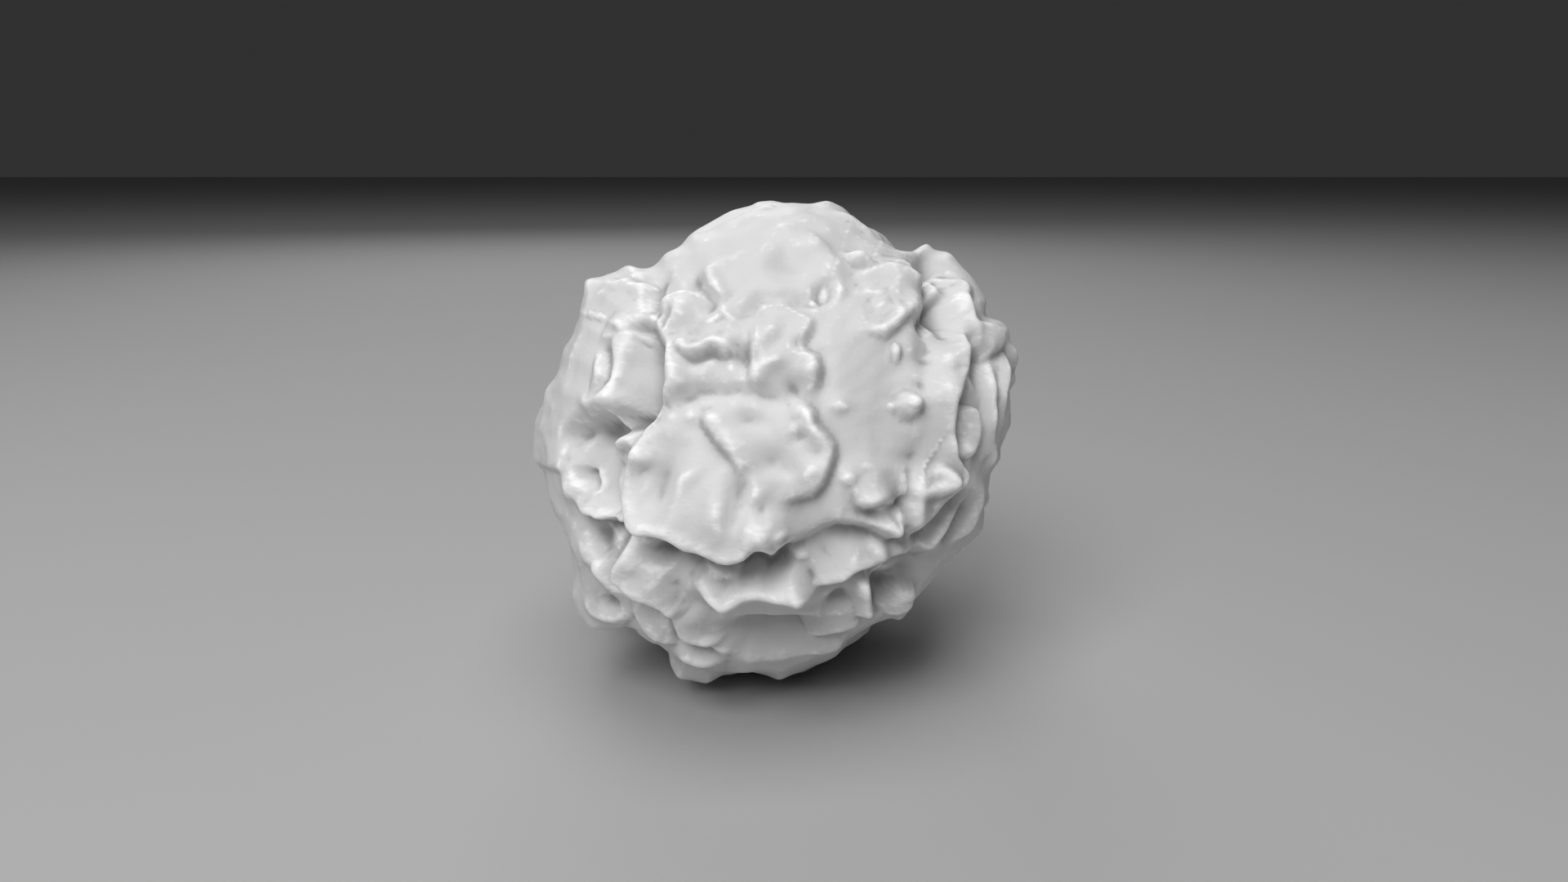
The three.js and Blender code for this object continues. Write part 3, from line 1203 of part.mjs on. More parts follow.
function layHiddenFeatures() {
  const random = randomSource(2026);
  hiddenLedges(random, {
    count: 34, fewest: 8, extra: 6, step: 4.5, wobble: 0.36, heights: [2.4, 5], unevenness: [0.7, 1.1],
    runs: [9, 16], drops: [2.4, 4.2], ditches: [0, 1.2], fade: 7,
  });
  hiddenLobes(random, {
    count: 16, narrowest: 6, widest: 15, flattest: [0.6, 1], lowest: -3.2, highest: 3.6, frontmost: 0,
  });
  const course = { fewest: 4, extra: 4, step: 4, wobble: 0.4, fade: 5 };
  hiddenRidges(random, {
    ...course, count: 18, sign: 1, heights: [1.2, 2.6], widths: [2.4, 4.6], profile: { sharp: 1 },
  });
  hiddenRidges(random, {
    ...course, count: 14, sign: -1, heights: [1.4, 3], widths: [2.8, 5], profile: { rounding: 0.8 },
  });
  hiddenLobes(random, {
    count: 16, narrowest: 1.8, widest: 4, flattest: [0.7, 1.2], lowest: 1.6, highest: 3.8, frontmost: 0.05,
  });
  hiddenLobes(random, {
    count: 8, narrowest: 2.4, widest: 4.4, flattest: [0.7, 1.2], lowest: -4, highest: -2, frontmost: 0.05,
  });
}

// ---- The stone ----

// Ground that the melt bowls leave smooth, each patch with the share it takes off them
function layFrontSmooth() {
  // neck
  smoothGround.push(lobe({ at: [-34.5, 22], height: 1.6, across: 7, up: 18 }));
  // right of the nose band
  smoothGround.push(lobe({ at: [17, 14], height: 1.4, across: 13, up: 20, turn: -25 }));
  // left of the face
  smoothGround.push(lobe({ at: [-28, -9], height: 1.8, across: 14, up: 18, turn: 10 }));
  // under the jaw
  smoothGround.push(lobe({ at: [0, -49], height: 1.5, across: 26, up: 9 }));
  // slab
  smoothGround.push(lobe({ at: [-41, 35], height: 1.8, across: 12, up: 9 }));
  // leg
  smoothGround.push(lobe({ at: [-47, 19], height: 1.6, across: 9, up: 20, turn: -20 }));
  // summit
  smoothGround.push(lobe({ at: [-16, 47], height: 1.4, across: 17, up: 11, turn: 30 }));
  // crown plate
  smoothGround.push(lobe({ at: [-6, 41], height: 1, across: 12, up: 9 }));
}

function layFront() {
  layChin();
  layJaw();
  layLeftSide();
  layCrown();
  layBrow();
  layNose();
  layRightSide();
  layFace();
  layRightBack();
}

// The front is laid twice: the second time, each feature finds its place on the ground that all the others
// make
function layAllFeatures() {
  layFront();
  drafted = features.splice(0);
  layFront();
  drafted = [];
  layFrontSmooth();
  layHiddenFeatures();
  features.push(meltBowls({ count: 420, smallest: 4, largest: 9, depth: 0.8, seed: 11 }));
  features.push(swell({ height: 0.8, wavelength: 30 }));
}

// An even ball of triangles with shared corners
function evenBall() {
  const ball = new THREE.IcosahedronGeometry(1, SUBDIVISIONS);
  ball.deleteAttribute('normal');
  ball.deleteAttribute('uv');
  return mergeVertices(ball);
}

// Slides the corners over the skin towards the middle of their neighbours, so that steep ground gets its
// share of them
function evenOut(directions, index) {
  const points = directions.map((direction) => direction.clone().multiplyScalar(skinRadius(direction)));
  const sums = points.map(() => new THREE.Vector3());
  const counts = points.map(() => 0);
  for (let corner = 0; corner < index.length; corner += 1) {
    const next = corner % 3 === 2 ? corner - 2 : corner + 1;
    sums[index[corner]].add(points[index[next]]);
    counts[index[corner]] += 1;
  }
  return points.map((point, i) => point.lerp(sums[i].divideScalar(counts[i]), RELAX_SHARE).normalize());
}

function stoneGeometry() {
  const geometry = evenBall();
  const positions = geometry.getAttribute('position');
  const index = Array.from(geometry.getIndex().array);
  let directions = Array.from({ length: positions.count }, (_, i) => (
    new THREE.Vector3().fromBufferAttribute(positions, i).normalize()
  ));
  for (let round = 0; round < RELAX_ROUNDS; round += 1) directions = evenOut(directions, index);
  directions.forEach((direction, i) => {
    const point = direction.clone().multiplyScalar(skinRadius(direction));
    positions.setXYZ(i, point.x, point.y, point.z);
  });
  geometry.rotateX(Math.PI / 2 - LEAN);
  geometry.translate(0, 0, REST_HEIGHT);
  return geometry;
}

// Levels whatever lies below the floor, which leaves the small flat spot, and centres the stone over the
// origin
function settle(geometry) {
  const positions = geometry.getAttribute('position');
  for (let i = 0; i < positions.count; i += 1) {
    positions.setZ(i, Math.max(positions.getZ(i), 0));
  }
  geometry.computeBoundingBox();
  const middle = geometry.boundingBox.getCenter(new THREE.Vector3());
  geometry.translate(-middle.x, -middle.y, 0);
  geometry.computeVertexNormals();
  return geometry;
}

function hailstone() {
  layAllFeatures();
  const ice = new THREE.MeshStandardMaterial({ color: 0xd2d4d6, roughness: 0.42, metalness: 0 });
  const mesh = new THREE.Mesh(settle(stoneGeometry()), ice);
  mesh.name = 'hailstone';
  return mesh;
}

const part = new THREE.Group();
part.add(hailstone());

export default part;
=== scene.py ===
"""A giant hailstone: one solid lump of opaque white ice at rest on a plain pale floor.

Every point of the skin lies at one distance from the stone's centre, for its own direction. That
distance is a rounded base form plus the relief of named features. Features of the front are laid
out on a flat chart through the centre, in millimetres to the right and up, and are carried onto
the skin from a pole in front of the stone. On the chart's own axes x is right, y is up and z
points to the pole. The finished stone is leaned back by LEAN.
"""

import logging
import math
from abc import ABC, abstractmethod
from collections.abc import Callable, Iterable
from dataclasses import dataclass, field
from enum import Enum
from typing import NamedTuple

import bpy
import numpy as np
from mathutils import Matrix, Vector


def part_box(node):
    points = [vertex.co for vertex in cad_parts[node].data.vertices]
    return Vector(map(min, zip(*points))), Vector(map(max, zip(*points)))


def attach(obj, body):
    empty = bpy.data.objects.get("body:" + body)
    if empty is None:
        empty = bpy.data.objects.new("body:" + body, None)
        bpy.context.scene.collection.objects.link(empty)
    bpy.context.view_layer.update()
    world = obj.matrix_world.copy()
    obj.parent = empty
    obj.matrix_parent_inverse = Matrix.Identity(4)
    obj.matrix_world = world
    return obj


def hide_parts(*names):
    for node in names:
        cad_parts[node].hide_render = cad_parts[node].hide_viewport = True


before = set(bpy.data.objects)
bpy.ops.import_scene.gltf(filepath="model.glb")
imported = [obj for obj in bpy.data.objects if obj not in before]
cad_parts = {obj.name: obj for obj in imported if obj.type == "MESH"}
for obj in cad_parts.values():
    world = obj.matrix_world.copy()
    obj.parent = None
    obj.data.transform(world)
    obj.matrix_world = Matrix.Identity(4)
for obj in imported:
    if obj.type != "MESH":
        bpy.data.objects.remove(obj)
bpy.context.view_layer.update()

Array = np.ndarray
Place = tuple[float, float]
Trail = list[tuple[float, ...]]
Colour = tuple[float, float, float]

STONE = "hailstone"
MM = 0.001
MEAN_RADIUS = 57.0  # mm, the ball that every feature is laid on
LEAN = math.radians(15.0)  # how far the chart's axis points above level
UNDERSIDE = np.array([0.0, -math.cos(LEAN), -math.sin(LEAN)])  # straight down, on the chart's axes
LIFT = 0.7  # share of a feature's height at which its chart place is sought
NEARLY_LEVEL = 0.9  # cosine above which a direction is too near the x axis to take level from it
CREST_POWER = 1.6  # how crisply a step rounds over at its crest


# ---- Small helpers ----


def unit(vectors: Array) -> Array:
    """Give vectors a length of one."""
    return vectors / np.linalg.norm(vectors, axis=-1, keepdims=True)


def smooth(share: Array | float) -> Array | float:
    """Ease from 0 to 1, level at both ends."""
    t = np.clip(share, 0.0, 1.0)
    return t * t * (3.0 - 2.0 * t)


def bell(value: Array, reach: float | Array) -> Array:
    """Fall off evenly to both sides of nought."""
    return np.exp(-((value / reach) ** 2))


def wrap_angle(angle: Array) -> Array:
    """Bring angles between minus and plus half a turn."""
    return (angle + math.pi) % (2.0 * math.pi) - math.pi


def skin_axes(direction: Array, turn: float = 0.0) -> tuple[Array, Array]:
    """Find two directions along the skin at a place.

    Args:
        direction: The place, as a direction from the stone's centre.
        turn: How far both are turned, in radians.

    Returns:
        The first as near level to the right as it can be, and the one square to it.
    """
    level, upright = np.array([1.0, 0.0, 0.0]), np.array([0.0, 1.0, 0.0])
    guide = level if abs(direction[0]) < NEARLY_LEVEL else upright
    across = unit(guide - direction * (guide @ direction))
    along = np.cross(direction, across)
    first = across * math.cos(turn) + along * math.sin(turn)
    second = along * math.cos(turn) - across * math.sin(turn)
    return first, second


@dataclass
class RandomSource:
    """Repeatable random numbers, so that the stone is the same each time."""

    state: int
    factor: int = 1664525
    step: int = 1013904223
    span: int = 2**32

    def draw(self, low: float = 0.0, high: float = 1.0) -> float:
        """Draw the next number between low and high."""
        self.state = (self.state * self.factor + self.step) % self.span
        return low + (high - low) * self.state / self.span


# ---- Features: each gives millimetres of relief for a direction ----


def lift_for(height: float) -> float:
    """Raise a feature's chart place to where it would meet the line from the pole."""
    return LIFT * max(height, 0.0)


class Feature(ABC):
    """One thing that raises or lowers the skin.

    It has effect only where the cosine of the angle from its middle is above its edge.
    """

    middle: Array = np.array([0.0, 0.0, 1.0])
    edge: float = -2.0

    def settle(self, skin: "Skin") -> None:
        """Find the feature's place on the skin as laid so far."""

    @abstractmethod
    def relief(self, directions: Array) -> Array:
        """Give the feature's height at directions, in millimetres."""


@dataclass(kw_only=True)
class Lobe(Feature):
    """A rounded oval swell, or a scoop where the height is below zero."""

    at: Place | None = None
    direction: Array | None = None
    height: float
    across: float
    up: float | None = None
    turn: float = 0.0
    margin: float = 1.1

    def settle(self, skin: "Skin") -> None:
        """Find the lobe's centre and its two axes.

        Args:
            skin: The skin that it is laid on.
        """
        if self.at is not None:
            self.direction = skin.under_chart(*self.at, lift_for(self.height))[0]
        self.middle = self.direction
        self.up = self.up or self.across
        self.first, self.second = skin_axes(self.direction, math.radians(self.turn))
        widest = max(self.across, self.up) / MEAN_RADIUS * self.margin
        self.edge = math.cos(min(widest, math.pi / 2.0))

    def relief(self, directions: Array) -> Array:
        """Measure the lobe.

        Args:
            directions: Where to measure, one direction a row.

        Returns:
            Its height in each direction, in millimetres.
        """
        out = np.zeros(len(directions))
        inside = directions @ self.middle > self.edge
        points = directions[inside] * MEAN_RADIUS
        outward = np.hypot(points @ self.first / self.across, points @ self.second / self.up)
        out[inside] = self.height * smooth(1.0 - outward)
        return out


class Nearness(NamedTuple):
    """How points lie to a course: distance, side of it, and the course's height there."""

    gap: Array
    side: Array
    height: Array


@dataclass(kw_only=True)
class Course(Feature):
    """A run of straight spans over the skin, with a height at each corner.

    Corners are held on the ball of the mean radius. Heights fade to nothing over the first and last
    stretch unless the course is closed. A corner is (right, up) or (right, up, height) on the chart,
    or (x, y, z, height) as a direction from the centre.
    """

    trail: Trail
    height: float
    fade: float = 5.0
    closed: bool = False
    blend_power: float = 6.0
    blend_gap: float = 0.25
    blend_slack: float = 1.05
    blend_from: float = 1.5
    blend_over: float = 4.0

    @abstractmethod
    def reach(self) -> float:
        """Give the widest distance from the course that it has any effect, in millimetres."""

    @abstractmethod
    def profile(self, near: Nearness) -> Array:
        """Give the relief across the course, in millimetres."""

    def corners(self, skin: "Skin") -> tuple[Array, Array]:
        """Find the course's corners on the skin.

        Args:
            skin: The skin as laid so far.

        Returns:
            Directions of the corners, and the height at each.
        """
        if len(self.trail[0]) == 4:
            rows = np.array(self.trail)
            return unit(rows[:, :3]), rows[:, 3]
        places = np.array([corner[:2] for corner in self.trail], float)
        heights = [corner[2] if len(corner) == 3 else self.height for corner in self.trail]
        return skin.under_chart(*places.T, lift_for(self.height)), np.array(heights)

    def settle(self, skin: "Skin") -> None:
        """Lay the spans, with the side and height at each corner.

        Args:
            skin: The skin that they are laid on.
        """
        directions, heights = self.corners(skin)
        if self.closed:
            directions = np.vstack([directions, directions[:1]])
            heights = np.append(heights, heights[0])
        self.points = directions * MEAN_RADIUS
        self.lengths = np.linalg.norm(np.diff(self.points, axis=0), axis=1)
        travelled = np.concatenate([[0.0], np.cumsum(self.lengths)])
        if not self.closed:
            left = travelled[-1] - travelled
            heights = heights * smooth(travelled / self.fade) * smooth(left / self.fade)
        self.heights = heights
        self.normals = unit(np.cross(self.points[:-1], self.points[1:]))
        self.middle = unit(directions.mean(0))
        widest = np.arccos(np.clip(directions @ self.middle, -1.0, 1.0)).max()
        self.edge = math.cos(min(widest + self.reach() / MEAN_RADIUS, math.pi))

    def near(self, points: Array) -> Nearness:
        """Measure how points lie to the course.

        Distances and heights are blended between spans, so that the skin has no seam where two spans
        are equally near.

        Args:
            points: Places on the ball of the mean radius.

        Returns:
            Distance, side and height for each point.
        """
        count = len(self.lengths)
        nearest = np.full(len(points), np.inf)
        side = np.zeros(len(points))
        weights = np.zeros(len(points))
        heights = np.zeros(len(points))
        for span in range(count):
            start = self.points[span]
            run = self.points[span + 1] - start
            along = np.clip((points - start) @ run / (run @ run), 0.0, 1.0)
            foot = unit(start + along[:, None] * run) * MEAN_RADIUS
            gap = np.linalg.norm(points - foot, axis=1)
            own = self.normals[span]
            after = self.normals[(span + 1) % count] if self.closed or span < count - 1 else own
            before = self.normals[span - 1] if self.closed or span > 0 else own
            facing = np.where((along >= 1.0)[:, None], own + after, own)
            facing = np.where((along <= 0.0)[:, None], own + before, facing)
            closer = gap < nearest
            nearest = np.where(closer, gap, nearest)
            side = np.where(closer, np.sign((points * facing).sum(1)), side)
            size = self.lengths[span] / (self.lengths[span] + 1.0)
            weight = (gap + self.blend_gap) ** -self.blend_power * size
            weights += weight
            rise = self.heights[span + 1] - self.heights[span]
            heights += weight * (self.heights[span] + rise * along)
        furthest = nearest * self.blend_slack + self.blend_gap
        blended = np.minimum(weights ** (-1.0 / self.blend_power), furthest)
        share = smooth((nearest - self.blend_from) / self.blend_over)
        return Nearness(nearest + (blended - nearest) * share, side, heights / weights)

    def relief(self, directions: Array) -> Array:
        """Measure the course's relief.

        Args:
            directions: Where to measure, one direction a row.

        Returns:
            The relief in each direction, in millimetres.
        """
        out = np.zeros(len(directions))
        inside = directions @ self.middle > self.edge
        if inside.any():
            out[inside] = self.profile(self.near(directions[inside] * MEAN_RADIUS))
        return out


@dataclass(kw_only=True)
class Ridge(Course):
    """A crest along a course that falls off evenly to both sides."""

    width: float
    sharp: float = 1.5
    rounding: float = 0.4
    fade: float = 4.0

    def reach(self) -> float:
        """Give the ridge's half-width."""
        return self.width

    def profile(self, near: Nearness) -> Array:
        """Give the relief across the ridge."""
        rounded = np.hypot(near.gap, self.rounding) - self.rounding
        return near.height * np.clip(1.0 - rounded / self.width, 0.0, 1.0) ** self.sharp


def groove(
    *, trail: Trail, depth: float, width: float, fade: float = 4.0, rounding: float = 0.8
) -> Ridge:
    """Cut a valley along a trail, to the depth given.

    Args:
        trail: The valley's course on the chart, each corner with its own depth if it has one.
        depth: How deep it is.
        width: Its half-width.
        fade: How far its ends take to run out.
        rounding: How broadly its bottom is rounded.

    Returns:
        The valley, as a ridge of heights below zero.
    """
    cut = [(corner[0], corner[1], -(corner[2] if len(corner) > 2 else depth)) for corner in trail]
    return Ridge(trail=cut, height=-depth, width=width, fade=fade, rounding=rounding)


@dataclass(kw_only=True)
class Ledge(Course):
    """A step along a course.

    The high ground is on the left of the course and fades back over the run. The skin falls away
    over the drop on the right, into a shallow ditch if there is one.
    """

    run: float
    drop: float
    ditch: float = 0.0
    crisp: float = 0.8
    back_crisp: float = 0.4
    back_power: float = 1.5
    lowest: float = 0.1

    def reach(self) -> float:
        """Give the wider of the run and three drops."""
        return max(self.run, self.drop * 3.0)

    def profile(self, near: Nearness) -> Array:
        """Shape the ledge across its course.

        Args:
            near: How the points lie to the course.

        Returns:
            The relief at each point, in millimetres.
        """
        back = 1.0 - np.minimum(near.gap / self.run, 1.0)
        fall = 1.0 - np.minimum(near.gap / self.drop, 1.0)
        high = smooth(back) + (back**self.back_power - smooth(back)) * self.crisp * self.back_crisp
        low = smooth(fall) + (fall**CREST_POWER - smooth(fall)) * self.crisp
        hollow = smooth(1.0 - abs(self.drop - near.gap) / (2.0 * self.drop))
        share = np.clip(near.height / max(abs(self.height), self.lowest), 0.0, 1.0)
        below = near.height * low - self.ditch * hollow * share
        return np.where(near.side >= 0.0, near.height * high, below)


@dataclass(kw_only=True)
class Block(Course):
    """Raised ground inside a closed course, as high at its edges as the nearest corners."""

    bevel: float
    crisp: float = 0.8
    closed: bool = True

    def __post_init__(self) -> None:
        """Turn the course anticlockwise, so that its inside is on its left."""
        places = np.array([corner[:2] for corner in self.trail])
        following = np.roll(places, -1, 0)
        if (places[:, 0] * following[:, 1] - places[:, 1] * following[:, 0]).sum() < 0.0:
            self.trail = self.trail[::-1]

    def reach(self) -> float:
        """Give the distance at which the bevel has run out."""
        return self.bevel * 1.5

    def profile(self, near: Nearness) -> Array:
        """Give the relief across the block's edge."""
        fall = np.clip(1.0 + near.gap * near.side / self.bevel, 0.0, 1.0)
        return near.height * (smooth(fall) + (fall**CREST_POWER - smooth(fall)) * self.crisp)


@dataclass(kw_only=True)
class MeltBowls(Feature):
    """Shallow melt bowls all over the stone, which meet in crisp crests."""

    count: int
    smallest: float
    largest: float
    depth: float
    seed: int
    spread: float = 1.7
    shallowest: float = 0.5
    narrowest: float = 0.7
    stretches: float = 0.5

    def settle(self, skin: "Skin") -> None:
        """Scatter the bowls.

        Args:
            skin: The skin, which knows where the bowls are shallow.
        """
        self.skin = skin
        random = RandomSource(self.seed)
        self.bowls = []
        while len(self.bowls) < self.count:
            z = 2.0 * random.draw() - 1.0
            angle = 2.0 * math.pi * random.draw()
            width = random.draw(self.smallest, self.largest)
            share = self.shallowest + (1.0 - self.shallowest) * random.draw()
            stretch = self.narrowest + self.stretches * random.draw()
            turn = math.pi * random.draw()
            ring = math.sqrt(1.0 - z * z)
            centre = np.array([ring * math.cos(angle), ring * math.sin(angle), z])
            first, second = skin_axes(centre, turn)
            self.bowls.append((centre, first / width, second / (width * stretch), width, share))

    def relief(self, directions: Array) -> Array:
        """Measure the deepest bowl at each direction.

        Args:
            directions: Where to measure, one direction a row.

        Returns:
            Its depth in each direction, in millimetres, as a height below zero.
        """
        deepest = np.full(len(directions), -1.0)
        for centre, first, second, width, share in self.bowls:
            inside = np.flatnonzero(directions @ centre > math.cos(self.spread * width / MEAN_RADIUS))
            points = directions[inside] * MEAN_RADIUS
            depth = share * (1.0 - (points @ first) ** 2 - (points @ second) ** 2)
            deepest[inside] = np.maximum(deepest[inside], depth)
        return -deepest * self.depth * self.skin.rough_share(directions)


@dataclass(kw_only=True)
class Swell(Feature):
    """Broad warped waves that keep the smooth ground from being a plain ball."""

    height: float
    wavelength: float
    octaves: int = 3
    finer: float = 1.9
    lower: float = 0.5

    def relief(self, directions: Array) -> Array:
        """Measure the waves: each octave is three sine waves, bent by one another at odd angles.

        Args:
            directions: Where to measure, one direction a row.

        Returns:
            Their height in each direction, in millimetres.
        """
        frequency = MEAN_RADIUS / self.wavelength * 2.0
        amplitude = self.height
        total = np.zeros(len(directions))
        for octave in range(self.octaves):
            a, b, c = (directions * frequency).T
            warp_a = 0.9 * np.sin(b * 1.1 + 1.0 + octave) + 0.7 * np.sin(c * 0.83 - 1.0)
            warp_b = 0.9 * np.sin(c * 1.07 + 2.0 - octave) + 0.7 * np.sin(a * 0.91 + 1.3)
            warp_c = 0.9 * np.sin(a * 0.97 - 1.0 + 0.5 * octave) + 0.7 * np.sin(b * 0.87 + 2.1)
            waves = np.sin(a + warp_a + octave) + np.sin(b + warp_b + 1.7) + np.sin(c + warp_c + 2.9)
            total += amplitude * waves / 3.0
            frequency *= self.finer
            amplitude *= self.lower
        return total


# ---- Base form ----

# The stone's outline on the chart, (right, up), anticlockwise from the right-hand shoulder
OUTLINE = [
    (59.4, 20.2), (58.2, 17.6), (59, 16), (56.4, 11.6), (56.8, 6.2), (55.2, 3), (54.4, -1), (55, -3.4),
    (52.5, -7.6), (52.2, -10.6), (51, -14), (51.2, -18.2), (50.4, -22), (48, -24.6), (43, -27.4),
    (39, -29.2), (38.7, -33.4), (36.4, -36), (34.2, -37.4), (33.6, -40.6), (30.6, -43.8), (26.6, -42.8),
    (23.6, -42.2), (18.4, -46), (17.2, -49), (14.2, -52.5), (10.2, -54.2), (4.4, -56.6), (0.4, -58.2),
    (-3.2, -57), (-7.8, -56), (-13, -56.8), (-17.6, -59.2), (-20.4, -58.4), (-24.4, -57.8), (-26.3, -54.6),
    (-27, -50.8), (-32.6, -48), (-35.2, -46), (-36.2, -43.4), (-40.2, -46.2), (-45.8, -44.8),
    (-48.4, -41.6), (-49.8, -37.8), (-49.8, -31.6), (-51.3, -23), (-51, -20.4), (-54.2, -17),
    (-55.8, -14.2), (-56.8, -8), (-59, -4), (-59.2, 1), (-59, 5), (-58, 8.4), (-55.8, 11.2), (-52.6, 15.2),
    (-52.2, 20.6), (-51.6, 24), (-49.2, 26.4), (-47.8, 31.6), (-47, 36), (-46.8, 40.6), (-43, 41.2),
    (-39.2, 42.6), (-36.8, 44.2), (-33, 43), (-30, 42.2), (-27, 43.2), (-24.4, 46.8), (-21.2, 51.6),
    (-18.8, 53.2), (-14.8, 55.2), (-10.6, 57.2), (-6.2, 58.2), (-5, 59.3), (-1, 59.6), (1.6, 59),
    (7.4, 58.1), (12.6, 59.2), (16, 58), (19.4, 55), (24.6, 50.8), (25.8, 48), (28.4, 46.6), (33.6, 47),
    (36.2, 49.6), (38.4, 47.6), (42.4, 47), (45.2, 43.8), (47.8, 41), (51, 35.6), (50.6, 31), (54.6, 29.8),
    (56.6, 28), (57, 25), (59, 22.8),
]


@dataclass
class BaseForm:
    """The rounded body, with the stone's outline round its waist."""

    front_radius: float = 53.5
    back_radius: float = 52.0
    waist: float = 0.28
    waist_reach: float = 0.5
    outline_share: float = 0.974
    notch_reach: float = 0.3
    shoulder: float = 1.6
    shoulder_depth: float = 0.52
    shoulder_reach: float = 0.2
    lump_reach: float = 0.13
    lump_reach_varies: float = 0.04
    deep_notch: float = 1.5
    hollow_side: float = 4.0
    average_step: float = math.radians(9.0)
    average_steps: int = 4
    skew_reach: float = 0.5
    axis_clear: float = 0.6

    def __post_init__(self) -> None:
        """Sort the outline by its angle on the chart."""
        points = np.array(OUTLINE)
        angles = np.arctan2(points[:, 1], points[:, 0])
        order = np.argsort(angles)
        radii = np.hypot(points[:, 0], points[:, 1])[order] * self.outline_share
        angles = angles[order]
        turn = 2.0 * math.pi
        self.angles = np.concatenate([[angles[-1] - turn], angles, [angles[0] + turn]])
        self.radii = np.concatenate([radii[-1:], radii, radii[:1]])

    def outline(self, angle: Array) -> Array:
        """Measure the outline, eased half-way between straight and smooth joins.

        Args:
            angle: Angles on the chart, from the right and anticlockwise.

        Returns:
            The outline's radius at each angle, in millimetres.
        """
        wrapped = wrap_angle(angle)
        after = np.clip(np.searchsorted(self.angles, wrapped), 1, len(self.angles) - 1)
        start = self.angles[after - 1]
        share = (wrapped - start) / (self.angles[after] - start)
        rise = self.radii[after] - self.radii[after - 1]
        return self.radii[after - 1] + rise * (smooth(share) + share) / 2.0

    def broad_outline(self, angle: Array) -> Array:
        """Measure the outline with its small lumps averaged out.

        Args:
            angle: Angles on the chart, from the right and anticlockwise.

        Returns:
            The broad outline's radius at each angle, in millimetres.
        """
        nearest = self.average_steps + 1
        steps = range(-self.average_steps, nearest)
        radii = (self.outline(angle + self.average_step * k) * (nearest - abs(k)) for k in steps)
        return sum(radii) / float(nearest**2)

    def off_axis(self, directions: Array) -> Array:
        """Give the outline's share, which is nothing along the chart's axis."""
        return smooth(np.hypot(directions[:, 0], directions[:, 1]) / self.axis_clear)

    def radius(self, directions: Array) -> Array:
        """Measure the base form from its centre.

        Args:
            directions: Where to measure, one direction a row.

        Returns:
            The radius in each direction, in millimetres.
        """
        z = directions[:, 2]
        ends = np.where(z > 0.0, self.front_radius, self.back_radius)
        body = MEAN_RADIUS + (ends - MEAN_RADIUS) * smooth(abs(z))
        angle = np.arctan2(directions[:, 1], directions[:, 0])
        away = z - self.waist
        broad = self.broad_outline(angle)
        sway = np.sin(4.0 * angle + 1.0) + 0.5 * np.sin(9.0 * angle)
        skew = smooth(abs(away) / self.skew_reach) * away * sway
        off_axis = self.off_axis(directions)
        inside = smooth((body - broad) / self.hollow_side) * (away < 0.0)
        reach = self.waist_reach * (1.0 + inside)
        girth = (broad - body) * bell(away, reach)
        shoulder = self.shoulder * bell(z - self.shoulder_depth, self.shoulder_reach)
        girth = (girth + shoulder) * off_axis
        lump = self.outline(angle + skew) - broad
        reach = self.lump_reach + self.lump_reach_varies * np.sin(5.0 * angle + 2.0)
        reach = reach + self.notch_reach * smooth(-lump / self.deep_notch) * (away < 0.0)
        lumps = lump * bell(away, reach) * off_axis
        return body + girth + lumps


